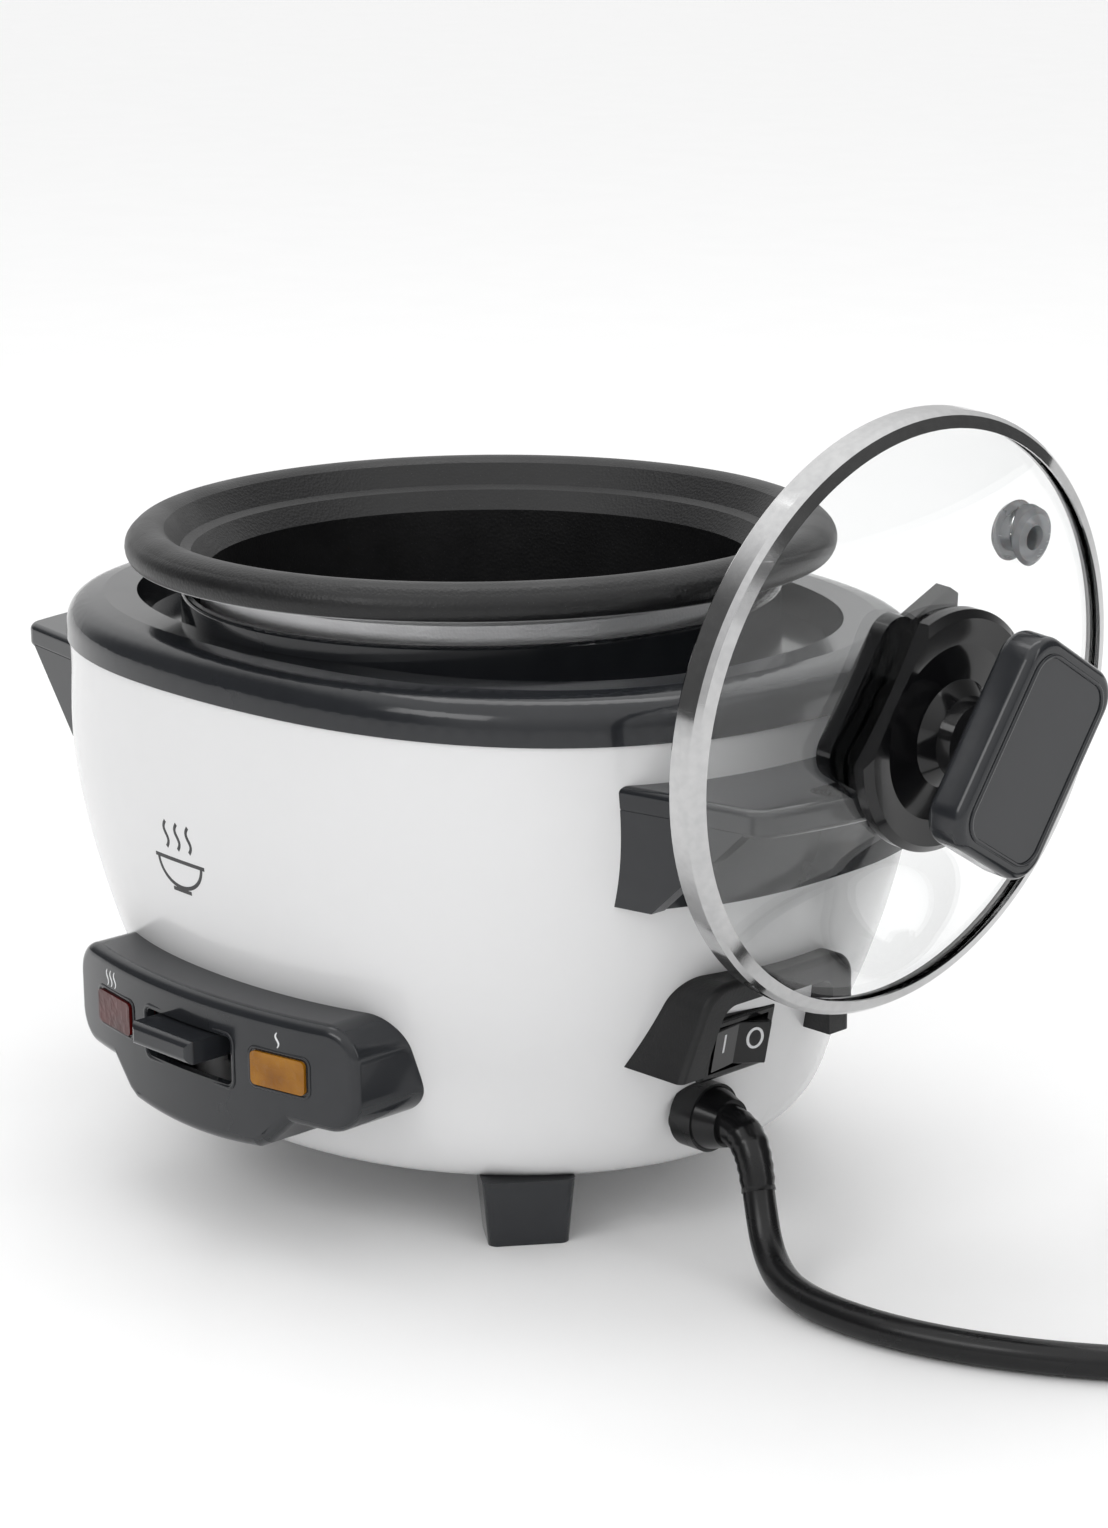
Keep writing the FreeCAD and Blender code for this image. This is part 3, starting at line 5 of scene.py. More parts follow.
import logging
import math
from collections.abc import Iterable, Sequence
from dataclasses import dataclass, field
from enum import Enum

import bpy
from mathutils import Matrix, Vector
from mathutils.bvhtree import BVHTree

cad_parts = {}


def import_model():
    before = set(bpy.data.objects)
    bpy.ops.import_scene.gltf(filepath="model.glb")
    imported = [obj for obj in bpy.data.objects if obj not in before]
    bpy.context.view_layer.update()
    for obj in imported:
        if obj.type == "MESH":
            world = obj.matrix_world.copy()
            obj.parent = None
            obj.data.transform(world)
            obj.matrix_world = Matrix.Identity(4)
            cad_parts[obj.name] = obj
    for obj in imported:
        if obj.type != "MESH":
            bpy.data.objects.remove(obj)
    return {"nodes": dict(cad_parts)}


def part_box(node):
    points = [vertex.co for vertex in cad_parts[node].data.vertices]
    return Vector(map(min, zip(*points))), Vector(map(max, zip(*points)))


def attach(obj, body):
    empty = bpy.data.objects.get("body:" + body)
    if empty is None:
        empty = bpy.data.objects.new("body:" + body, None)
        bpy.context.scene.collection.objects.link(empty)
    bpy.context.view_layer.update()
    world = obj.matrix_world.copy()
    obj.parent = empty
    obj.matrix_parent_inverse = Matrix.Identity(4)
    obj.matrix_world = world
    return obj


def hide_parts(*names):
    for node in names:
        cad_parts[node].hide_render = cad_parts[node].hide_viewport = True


log = logging.getLogger("rice_cooker")
MM = 0.001
COAT_ROUGHNESS = 0.04
SCATTER_DEPTH = 0.002
# Sizes in metres of the slow colour patches, the gloss clouds and the scuffs, and the finest mottling.
PATCH_SIZE, CLOUD_SIZE, SCUFF_SIZE, FINEST_MOTTLE = 0.045, 0.018, 0.0035, 0.0012
Rgb = tuple[float, float, float]
Socket = bpy.types.NodeSocket
Stroke = list[tuple[float, float]]


# ---------------------------------------------------------------------------
# Finishes
# ---------------------------------------------------------------------------
class Grain(Enum):
    """The fine relief that a finish carries."""

    SMOOTH = "smooth"
    SPECKLED = "speckled"
    BRUSHED = "brushed"
    FACETED = "faceted"
    TURNED = "turned"
    PEBBLED = "pebbled"


@dataclass(frozen=True)
class Finish:
    """One surface finish: its colours, its gloss and its fine relief.

    Attributes:
        name: The material's name.
        colour: Main colour.
        drift: Colour that it slowly drifts towards.
        gloss: Lowest and highest roughness.
        grain: Kind of fine relief.
        grain_size: Size of one grain, in metres.
        relief: Strength of the relief.
        depth: Height of the relief, in metres.
        metallic: 1 for bare metal.
        coat: Weight of a clear gloss coat.
        reflect: Strength of the mirror part, 0.5 for plain plastic.
        transmission: 1 for clear glass or lens plastic.
        ior: Index of refraction.
        subsurface: Weight of light scattered under the surface.
        scuffs: How far fine scuffs dull the gloss.
    """

    name: str
    colour: Rgb
    drift: Rgb
    gloss: tuple[float, float]
    grain: Grain = Grain.SMOOTH
    grain_size: float = 0.0006
    relief: float = 0.05
    depth: float = 0.0001
    metallic: float = 0.0
    coat: float = 0.0
    reflect: float = 0.5
    transmission: float = 0.0
    ior: float = 1.46
    subsurface: float = 0.0
    scuffs: float = 0.08

    def material(self) -> bpy.types.Material:
        """Build the material once and give it back.

        Returns:
            The material of this finish.
        """
        name = f"look_{self.name}"
        found = bpy.data.materials.get(name)
        if found:
            return found
        made = bpy.data.materials.new(name)
        made.use_nodes = True
        board = Board(made.node_tree)
        shader = board.shader
        shader.inputs["Metallic"].default_value = self.metallic
        shader.inputs["Coat Weight"].default_value = self.coat
        shader.inputs["Coat Roughness"].default_value = COAT_ROUGHNESS
        shader.inputs["Specular IOR Level"].default_value = self.reflect
        shader.inputs["Transmission Weight"].default_value = self.transmission
        shader.inputs["IOR"].default_value = self.ior
        shader.inputs["Subsurface Weight"].default_value = self.subsurface
        shader.inputs["Subsurface Scale"].default_value = SCATTER_DEPTH
        board.link(self.tint(board), shader.inputs["Base Color"])
        board.link(self.sheen(board), shader.inputs["Roughness"])
        board.link(self.bumps(board), shader.inputs["Normal"])
        bare = self.metal(board)
        if bare is not None:
            board.link(bare, shader.inputs["Metallic"])
        return made

    def metal(self, board: Board) -> Socket | None:
        """Where the surface is bare metal, if that differs over the piece.

        Args:
            board: Where the nodes go.

        Returns:
            The metal socket, or nothing for one value all over.
        """
        return None

    def tint(self, board: Board) -> Socket:
        """Colour that drifts slowly, with fainter fine mottling.

        Args:
            board: Where the nodes go.

        Returns:
            The colour socket.
        """
        slow = board.noise(1 / PATCH_SIZE, 3.0)
        fine = board.noise(1 / max(self.grain_size * 4, FINEST_MOTTLE), 2.0)
        both = board.blend_values(slow, fine, 0.3)
        return board.mix(board.span(both, 0.3, 0.7, 0.0, 1.0), self.colour, self.drift)

    def sheen(self, board: Board) -> Socket:
        """Roughness between the finish's two limits, raised by fine scuffs.

        Args:
            board: Where the nodes go.

        Returns:
            The roughness socket.
        """
        low, high = self.gloss
        cloud = board.span(board.noise(1 / CLOUD_SIZE, 4.0), 0.3, 0.7, low, high)
        scratch = board.noise(1 / SCUFF_SIZE, 5.0, stretch=(1.0, 1.0, 9.0))
        marks = board.span(scratch, 0.62, 0.75, 0.0, self.scuffs)
        return board.add(cloud, marks)

    def bumps(self, board: Board) -> Socket:
        """Normal with the finish's own grain.

        Args:
            board: Where the nodes go.

        Returns:
            The normal socket.
        """
        scale = 1 / self.grain_size
        match self.grain:
            case Grain.SPECKLED:
                height = board.cells(scale, "F1")
            case Grain.BRUSHED:
                height = board.noise(scale, 3.0, stretch=(1.0, 1.0, 0.04))
            case Grain.FACETED:
                height = board.cells(scale, "F1", sharp=True)
            case Grain.TURNED:
                height = board.rings(scale)
            case Grain.PEBBLED:
                height = board.cells(scale, "SMOOTH_F1")
            case _:
                height = board.noise(scale, 2.0)
        return board.bump(height, self.relief, self.depth)


class Board:
    """A material's node tree with short ways to add the nodes that the finishes share."""

    # Colour sockets of the mix node, which has one set of sockets for each kind of data.
    COLOUR_A, COLOUR_B, COLOUR_OUT = 6, 7, 2

    def __init__(self, tree: bpy.types.NodeTree) -> None:
        """Start from the tree's own shader and its object coordinates."""
        self.tree = tree
        self.shader = next(n for n in tree.nodes if n.type == "BSDF_PRINCIPLED")
        self.place = tree.nodes.new("ShaderNodeTexCoord").outputs["Object"]

    def new(self, kind: str, **settings: object) -> bpy.types.Node:
        """Add a node and set its properties.

        Args:
            kind: The node's type.
            settings: Properties of the node.

        Returns:
            The node.
        """
        node = self.tree.nodes.new(kind)
        for name, value in settings.items():
            setattr(node, name, value)
        return node

    def link(self, source: Socket, target: Socket) -> None:
        """Join two sockets."""
        self.tree.links.new(source, target)

    def spread(self, stretch: Rgb | None) -> Socket:
        """The object coordinates, stretched if asked.

        Args:
            stretch: Scale along each axis.

        Returns:
            The coordinate socket.
        """
        if stretch is None:
            return self.place
        node = self.new("ShaderNodeMapping")
        node.inputs["Scale"].default_value = stretch
        self.link(self.place, node.inputs["Vector"])
        return node.outputs["Vector"]

    def noise(self, scale: float, detail: float, stretch: Rgb | None = None) -> Socket:
        """Cloudy noise.

        Args:
            scale: Features per metre.
            detail: Octaves.
            stretch: Scale along each axis.

        Returns:
            A value from 0 to 1.
        """
        node = self.new("ShaderNodeTexNoise")
        node.inputs["Scale"].default_value = scale
        node.inputs["Detail"].default_value = detail
        self.link(self.spread(stretch), node.inputs["Vector"])
        return node.outputs["Fac"]

    def cells(self, scale: float, feature: str, sharp: bool = False) -> Socket:
        """Cellular relief.

        Args:
            scale: Cells per metre.
            feature: The cell measure.
            sharp: Use the straight-edged distance.

        Returns:
            The distance value.
        """
        node = self.new("ShaderNodeTexVoronoi", feature=feature)
        if sharp:
            node.distance = "CHEBYCHEV"
        node.inputs["Scale"].default_value = scale
        self.link(self.place, node.inputs["Vector"])
        return node.outputs["Distance"]

    def rings(self, scale: float) -> Socket:
        """Fine lathe rings about the upright axis.

        Args:
            scale: Grains per metre.

        Returns:
            A value from 0 to 1.
        """
        node = self.new("ShaderNodeTexWave", wave_type="RINGS", rings_direction="Z")
        node.inputs["Scale"].default_value = scale / 20
        node.inputs["Distortion"].default_value = 0.4
        self.link(self.place, node.inputs["Vector"])
        return node.outputs["Fac"]

    def span(self, value: Socket, low: float, high: float, to_low: float, to_high: float) -> Socket:
        """Map a value's range to another, smoothly and clamped.

        Args:
            value: The value.
            low: Where its range starts.
            high: Where its range ends.
            to_low: Result at the start.
            to_high: Result at the end.

        Returns:
            The mapped value.
        """
        node = self.new("ShaderNodeMapRange", interpolation_type="SMOOTHSTEP")
        for name, number in (("From Min", low), ("From Max", high), ("To Min", to_low), ("To Max", to_high)):
            node.inputs[name].default_value = number
        self.link(value, node.inputs["Value"])
        return node.outputs["Result"]

    def sum_of(self, operation: str, first: Socket, second: Socket | float) -> Socket:
        """A sum of two values by a named operation.

        Args:
            operation: The operation's name.
            first: The first value.
            second: A number or the second value.

        Returns:
            The result.
        """
        node = self.new("ShaderNodeMath", operation=operation)
        self.link(first, node.inputs[0])
        if isinstance(second, (int, float)):
            node.inputs[1].default_value = second
        else:
            self.link(second, node.inputs[1])
        return node.outputs[0]

    def add(self, first: Socket, second: Socket) -> Socket:
        """Two values added."""
        return self.sum_of("ADD", first, second)

    def blend_values(self, first: Socket, second: Socket, share: float) -> Socket:
        """Two values mixed by a fixed share.

        Args:
            first: The first value.
            second: The second value.
            share: How much of the second, from 0 to 1.

        Returns:
            The mixed value.
        """
        return self.add(self.sum_of("MULTIPLY", first, 1 - share), self.sum_of("MULTIPLY", second, share))

    def mix(self, share: Socket, first: Rgb | Socket, second: Rgb | Socket) -> Socket:
        """Two colours mixed.

        Args:
            share: How much of the second, from 0 to 1.
            first: A colour or a colour socket.
            second: A colour or a colour socket.

        Returns:
            The colour socket.
        """
        node = self.new("ShaderNodeMix", data_type="RGBA")
        self.link(share, node.inputs["Factor"])
        for socket, colour in ((node.inputs[self.COLOUR_A], first), (node.inputs[self.COLOUR_B], second)):
            if isinstance(colour, tuple):
                socket.default_value = (*colour, 1.0)
            else:
                self.link(colour, socket)
        return node.outputs[self.COLOUR_OUT]

    def bump(self, height: Socket, strength: float, depth: float) -> Socket:
        """A normal bumped by a height.

        Args:
            height: The height.
            strength: How strongly it shows.
            depth: Height of the relief, in metres.

        Returns:
            The normal socket.
        """
        node = self.new("ShaderNodeBump")
        node.inputs["Strength"].default_value = strength
        node.inputs["Distance"].default_value = depth
        self.link(height, node.inputs["Height"])
        return node.outputs["Normal"]


@dataclass(frozen=True)
class PotFinish(Finish):
    """Speckled non-stick inside and over the rim, bare spun aluminium outside below it.

    Attributes:
        rim_low: Height where the coating ends, in metres.
        rim_blend: Height over which it ends.
        turn_blend: Half width of the change between inside and outside.
        fleck: Colour of the coating's flecks.
        fleck_size: Size of one fleck's cell, in metres.
        bare: Main colour of the bare metal.
        bare_drift: Colour of its streaks.
        bare_satin: Roughness added on the bare metal.
        bare_shine: Share of metal on the bare wall.
    """

    rim_low: float = 0.1405
    rim_blend: float = 0.0006
    turn_blend: float = 0.004
    fleck: Rgb = (0.16, 0.16, 0.17)
    fleck_size: float = 0.0009
    bare: Rgb = (0.78, 0.78, 0.79)
    bare_drift: Rgb = (0.66, 0.66, 0.67)
    bare_satin: float = 0.08
    bare_shine: float = 0.6

    def outside(self, board: Board) -> Socket:
        """1 on the bare outer wall and base, 0 on the coated face.

        Args:
            board: Where the nodes go.

        Returns:
            The mask's socket.
        """
        coords = board.new("ShaderNodeTexCoord")
        apart = board.new("ShaderNodeSeparateXYZ")
        board.link(board.place, apart.inputs[0])
        flat = board.new("ShaderNodeVectorMath", operation="MULTIPLY")
        flat.inputs[1].default_value = (1.0, 1.0, 0.0)
        board.link(board.place, flat.inputs[0])
        facing = board.new("ShaderNodeVectorMath", operation="DOT_PRODUCT")
        board.link(coords.outputs["Normal"], facing.inputs[0])
        board.link(flat.outputs["Vector"], facing.inputs[1])
        away = board.span(facing.outputs["Value"], -self.turn_blend, self.turn_blend, 0.0, 1.0)
        below = board.span(apart.outputs["Z"], self.rim_low, self.rim_low + self.rim_blend, 1.0, 0.0)
        return board.sum_of("MULTIPLY", away, below)

    def tint(self, board: Board) -> Socket:
        """Flecked black inside, streaked bare metal outside."""
        flecks = board.span(board.cells(1 / self.fleck_size, "F1"), 0.12, 0.02, 0.0, 0.35)
        flecked = board.mix(flecks, super().tint(board), self.fleck)
        streaks = board.noise(1 / 0.02, 3.0, stretch=(1, 1, 12))
        bare = board.mix(streaks, self.bare, self.bare_drift)
        return board.mix(self.outside(board), flecked, bare)

    def sheen(self, board: Board) -> Socket:
        """The bare wall is a little more satin than the coating."""
        return board.add(super().sheen(board), board.sum_of("MULTIPLY", self.outside(board), self.bare_satin))

    def metal(self, board: Board) -> Socket:
        """Bare satin metal outside only."""
        return board.sum_of("MULTIPLY", self.outside(board), self.bare_shine)


ENAMEL = Finish("white_enamel", (0.75, 0.75, 0.755), (0.742, 0.743, 0.748), (0.22, 0.25),
                grain_size=0.0016, relief=0.05, depth=0.00004, coat=0.35, scuffs=0.01)
GREY_GLOSS = Finish("grey_gloss", (0.0155, 0.0168, 0.0195), (0.0205, 0.0220, 0.0250), (0.1, 0.19),
                    grain_size=0.0014, relief=0.05, depth=0.00004, coat=0.2, reflect=0.4, scuffs=0.06)
BLACK_GLOSS = Finish("black_gloss", (0.0035, 0.0035, 0.004), (0.006, 0.006, 0.0066), (0.08, 0.16),
                     grain_size=0.0014, relief=0.05, depth=0.00004, coat=0.2, reflect=0.4, scuffs=0.06)
BLACK_PLASTIC = Finish("black_plastic", (0.0075, 0.0075, 0.008), (0.0115, 0.0115, 0.012), (0.36, 0.48),
                       Grain.PEBBLED, grain_size=0.0005, relief=0.35, depth=0.00012, reflect=0.4)
BLACK_SATIN = Finish("black_satin", (0.0045, 0.0045, 0.005), (0.0075, 0.0075, 0.008), (0.2, 0.3),
                     grain_size=0.0007, relief=0.12, depth=0.00008, reflect=0.4)
NON_STICK = PotFinish("non_stick", (0.0055, 0.0055, 0.006), (0.009, 0.009, 0.0095), (0.34, 0.44),
                      Grain.SPECKLED, grain_size=0.0007, relief=0.28, depth=0.00018, reflect=0.45)
ALUMINIUM = Finish("aluminium", (0.66, 0.66, 0.67), (0.56, 0.56, 0.57), (0.24, 0.38),
                   Grain.TURNED, grain_size=0.0006, relief=0.15, metallic=1.0)
STEEL = Finish("polished_steel", (0.56, 0.56, 0.56), (0.44, 0.44, 0.445), (0.05, 0.11),
               Grain.BRUSHED, grain_size=0.0005, relief=0.03, metallic=1.0)
ZINC = Finish("zinc_steel", (0.56, 0.57, 0.58), (0.46, 0.47, 0.5), (0.25, 0.42),
              Grain.SPECKLED, grain_size=0.002, relief=0.06, metallic=1.0)
FERRITE = Finish("ferrite", (0.035, 0.035, 0.036), (0.05, 0.05, 0.05), (0.5, 0.66),
                 Grain.SPECKLED, grain_size=0.0006, relief=0.3)
BRASS = Finish("brass", (0.72, 0.53, 0.24), (0.62, 0.42, 0.17), (0.2, 0.34),
               Grain.BRUSHED, grain_size=0.0006, relief=0.06, metallic=1.0)
RED_LENS = Finish("red_lens", (0.090, 0.0045, 0.0040), (0.022, 0.0012, 0.0012), (0.08, 0.16),
                  Grain.FACETED, grain_size=0.0022, relief=0.5, depth=0.0003, coat=0.1, reflect=0.3)
AMBER_LENS = Finish("amber_lens", (0.50, 0.225, 0.012), (0.20, 0.07, 0.003), (0.06, 0.14),
                    Grain.FACETED, grain_size=0.0020, relief=0.7, depth=0.0004, coat=0.1, reflect=0.3)
BULB_GLASS = Finish("bulb_glass", (0.95, 0.96, 0.97), (0.9, 0.92, 0.93), (0.02, 0.05),
                    grain_size=0.004, relief=0.02, transmission=1.0, scuffs=0.02)
LID_GLASS = Finish("lid_glass", (0.985, 0.99, 0.99), (0.975, 0.985, 0.985), (0.0, 0.008),
                   grain_size=0.03, relief=0.02, transmission=1.0, ior=1.45, scuffs=0.012)
SILICONE = Finish("silicone", (0.42, 0.43, 0.44), (0.3, 0.31, 0.32), (0.2, 0.3),
                  grain_size=0.0012, relief=0.06, transmission=0.55, ior=1.41, subsurface=0.2)
CERAMIC = Finish("ceramic_white", (0.78, 0.77, 0.72), (0.7, 0.69, 0.64), (0.45, 0.6),
                 Grain.PEBBLED, grain_size=0.001, relief=0.15)
PRINT_WHITE = Finish("print_white", (0.78, 0.79, 0.8), (0.68, 0.69, 0.7), (0.35, 0.5),
                     grain_size=0.0004, relief=0.1, depth=0.00003)
PRINT_GREY = Finish("print_grey", (0.022, 0.022, 0.024), (0.035, 0.035, 0.037), (0.35, 0.5),
                    grain_size=0.0004, relief=0.1, depth=0.00003)
FLOOR_PAPER = Finish("pale_floor", (0.93, 0.93, 0.93), (0.92, 0.92, 0.92), (0.65, 0.75),
                     grain_size=0.02, relief=0.02)


PRINT_LIFT = 0.05 * MM
# Y in front of the cooker, from which marks and frames are dropped back on to it.
IN_FRONT = -0.1


@dataclass(frozen=True)
class Ink:
    """A printing ink.

    Attributes:
        finish: Its finish.
        slot: The record's material slot; not used.
    """

    finish: Finish
    slot: str


WHITE_INK = Ink(PRINT_WHITE, "ceramic_white")
GREY_INK = Ink(PRINT_GREY, "black_plastic")


# ---------------------------------------------------------------------------
# Mesh helpers
# ---------------------------------------------------------------------------
def mesh_piece(name: str, verts: Sequence[Vector], faces: Sequence[Sequence[int]], finish: Finish,
               body: str, smooth: bool = True) -> bpy.types.Object:
    """Make a piece from its points and faces, dress it and let it ride on a body.

    Args:
        name: The piece's name.
        verts: Points in metres.
        faces: Point numbers of each face.
        finish: Its finish.
        body: The body that it moves with.
        smooth: Shade it smooth.

    Returns:
        The piece.
    """
    mesh = bpy.data.meshes.new(name)
    mesh.from_pydata([tuple(v) for v in verts], [], [tuple(f) for f in faces])
    mesh.validate()
    if smooth:
        mesh.shade_smooth()
    piece = bpy.data.objects.new(name, mesh)
    bpy.context.scene.collection.objects.link(piece)
    mesh.materials.append(finish.material())
    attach(piece, body)
    log.info("made %s on %s, %d faces", name, body, len(mesh.polygons))
    return piece


def tube_faces(rows: int, around: int, first: int = 0) -> list[tuple[int, ...]]:
    """Faces of a capped tube of equal rings.

    Args:
        rows: Number of rings.
        around: Points in each ring.
        first: Number of the first point.

    Returns:
        The faces.
    """
    faces: list[tuple[int, ...]] = []
    for row in range(rows - 1):
        for k in range(around):
            a = first + row * around + k
            b = first + row * around + (k + 1) % around
            faces.append((a, b, b + around, a + around))
    faces.append(tuple(first + k for k in reversed(range(around))))
    faces.append(tuple(first + (rows - 1) * around + k for k in range(around)))
    return faces


@dataclass
class Surface:
    """A CAD node's surface that thin marks and frames are laid on.

    Attributes:
        node: The CAD node.
        origin: Middle of the laid area, a little outside the surface.
        right: Direction of the drawing's first axis.
        up: Direction of the drawing's second axis.
    """

    node: str
    origin: Vector
    right: Vector
    up: Vector
    tree: BVHTree = field(init=False)

    # Points round a ribbon's section, in half widths across and in lifts above the surface.
    SECTION = ((-1.0, -0.4), (-1.0, 0.6), (-0.6, 1.0), (0.6, 1.0), (1.0, 0.6), (1.0, -0.4))
    REACH = 0.05

    def __post_init__(self) -> None:
        """Read the node's mesh once."""
        mesh = FRAME["nodes"][self.node].data
        self.tree = BVHTree.FromPolygons([v.co for v in mesh.vertices], [p.vertices for p in mesh.polygons])

    def drop(self, x: float, y: float) -> tuple[Vector, Vector]:
        """Where a drawing's point lands, and the surface's normal there.

        Args:
            x: First drawing coordinate, metres.
            y: Second drawing coordinate, metres.

        Returns:
            The place and the outward normal.
        """
        inward = -self.right.cross(self.up).normalized()
        start = self.origin + self.right * x + self.up * y
        place, normal, _, _ = self.tree.ray_cast(start, inward, self.REACH)
        if place is None:
            return start, -inward
        return place, normal if normal.dot(inward) < 0 else -normal

    def ribbon(self, strokes: Iterable[Stroke], width: float, lift: float, closed: bool = False,
               taper: bool = False) -> tuple[list[Vector], list[tuple[int, ...]]]:
        """Low raised ribbons along strokes on the surface.

        Args:
            strokes: Lines in drawing coordinates, metres.
            width: Ribbon width.
            lift: Height above the surface.
            closed: Join each stroke's end to its start.
            taper: Narrow towards both ends.

        Returns:
            Points and faces.
        """
        verts: list[Vector] = []
        faces: list[tuple[int, ...]] = []
        for stroke in strokes:
            spots = [self.drop(x, y) for x, y in stroke]
            count, first = len(spots), len(verts)
            facing = sum((normal for _, normal in spots), Vector()).normalized()
            for i, (place, _) in enumerate(spots):
                before = spots[i - 1 if closed else max(i - 1, 0)][0]
                after = spots[(i + 1) % count if closed else min(i + 1, count - 1)][0]
                side = (after - before).normalized().cross(facing) * (width / 2)
                if taper:
                    side *= max(0.25, math.sin(math.pi * (i + 0.5) / count)) ** 0.5
                for across, high in self.SECTION:
                    verts.append(place + side * across + facing * lift * high)
            around = len(self.SECTION)
            rows = tube_faces(count, around, first)
            if closed:
                rows = rows[:-2]
                last = first + (count - 1) * around
                rows += [(last + k, last + (k + 1) % around, first + (k + 1) % around, first + k)
                         for k in range(around)]
            faces += rows
        return verts, faces

    def frame(self, name: str, stroke: Stroke, width: float, lift: float, body: str) -> bpy.types.Object:
        """A closed raised bead in the grey gloss plastic.

        Args:
            name: The piece's name.
            stroke: Its line in drawing coordinates, metres.
            width: Its width.
            lift: Its height.
            body: The body that it moves with.

        Returns:
            The piece.
        """
        verts, faces = self.ribbon([stroke], width, lift, True)
        return mesh_piece(name, verts, faces, GREY_GLOSS, body)

    def print_mark(self, name: str, strokes: Iterable[Stroke], width: float, ink: Ink, body: str,
                   closed: bool = False, taper: bool = False) -> bpy.types.Object:
        """A thin printed mark.

        Args:
            name: The piece's name.
            strokes: Its lines in drawing coordinates, metres.
            width: Width of its lines.
            ink: Its ink.
            body: The body that it moves with.
            closed: Join each stroke's end to its start.
            taper: Narrow towards both ends.

        Returns:
            The piece.
        """
        verts, faces = self.ribbon(strokes, width, PRINT_LIFT, closed, taper)
        return mesh_piece(name, verts, faces, ink.finish, body, smooth=False)


def wave(x: float, y: float, tall: float, sway: float, points: int = 17) -> Stroke:
    """A rising steam stroke centred on a point.

    Args:
        x: First coordinate of the middle.
        y: Second coordinate of the middle.
        tall: Height of the stroke.
        sway: How far it sways to either side.
        points: Points along it.

    Returns:
        The stroke.
    """
    return [(x + sway * math.sin(2 * math.pi * i / (points - 1)), y + tall * (i / (points - 1) - 0.5))
            for i in range(points)]


def rounded_frame(half_x: float, half_y: float, corner: float, steps: int = 6) -> Stroke:
    """A closed rounded rectangle centred on the origin.

    Args:
        half_x: Half its width.
        half_y: Half its height.
        corner: Corner radius.
        steps: Steps in each corner.

    Returns:
        The stroke.
    """
    points: Stroke = []
    for turn, (sx, sy) in enumerate(((1, 1), (-1, 1), (-1, -1), (1, -1))):
        for k in range(steps + 1):
            angle = math.pi / 2 * (turn + k / steps)
            points.append((sx * (half_x - corner) + corner * math.cos(angle),
                           sy * (half_y - corner) + corner * math.sin(angle)))
    return points


def ellipse(x: float, y: float, half_x: float, half_y: float, start: float = 0.0, end: float = 360.0,
            steps: int = 40) -> Stroke:
    """An arc of an ellipse.

    Args:
        x: First coordinate of the middle.
        y: Second coordinate of the middle.
        half_x: Half its width.
        half_y: Half its height.
        start: Where the arc starts, degrees.
        end: Where it ends, degrees.
        steps: Steps along the arc.

    Returns:
        The stroke.
    """
    angles = [math.radians(start + (end - start) * i / steps) for i in range(steps + 1)]
    return [(x + half_x * math.cos(angle), y + half_y * math.sin(angle)) for angle in angles]


# ---------------------------------------------------------------------------
# Studio
# ---------------------------------------------------------------------------
@dataclass(frozen=True)
class Softbox:
    """One soft light that faces the cooker.

    Attributes:
        name: The light's name.
        place: Where it hangs, metres.
        size: Its width and height.
        watts: Its power.
    """

    name: str
    place: tuple[float, float, float]
    size: tuple[float, float]
    watts: float

    # The spot on the cooker's axis that every light points at.
    TARGET = (0.0, 0.0, 0.08)

    def hang(self) -> None:
        """Add the light to the scene."""
        data = bpy.data.lights.new(self.name, "AREA")
        data.shape = "RECTANGLE"
        data.size, data.size_y = self.size
        data.energy = self.watts
        light = bpy.data.objects.new(self.name, data)
        bpy.context.scene.collection.objects.link(light)
        light.location = self.place
        facing = Vector(self.TARGET) - Vector(self.place)
        light.rotation_euler = facing.to_track_quat("-Z", "Y").to_euler()
        log.info("hung %s", self.name)


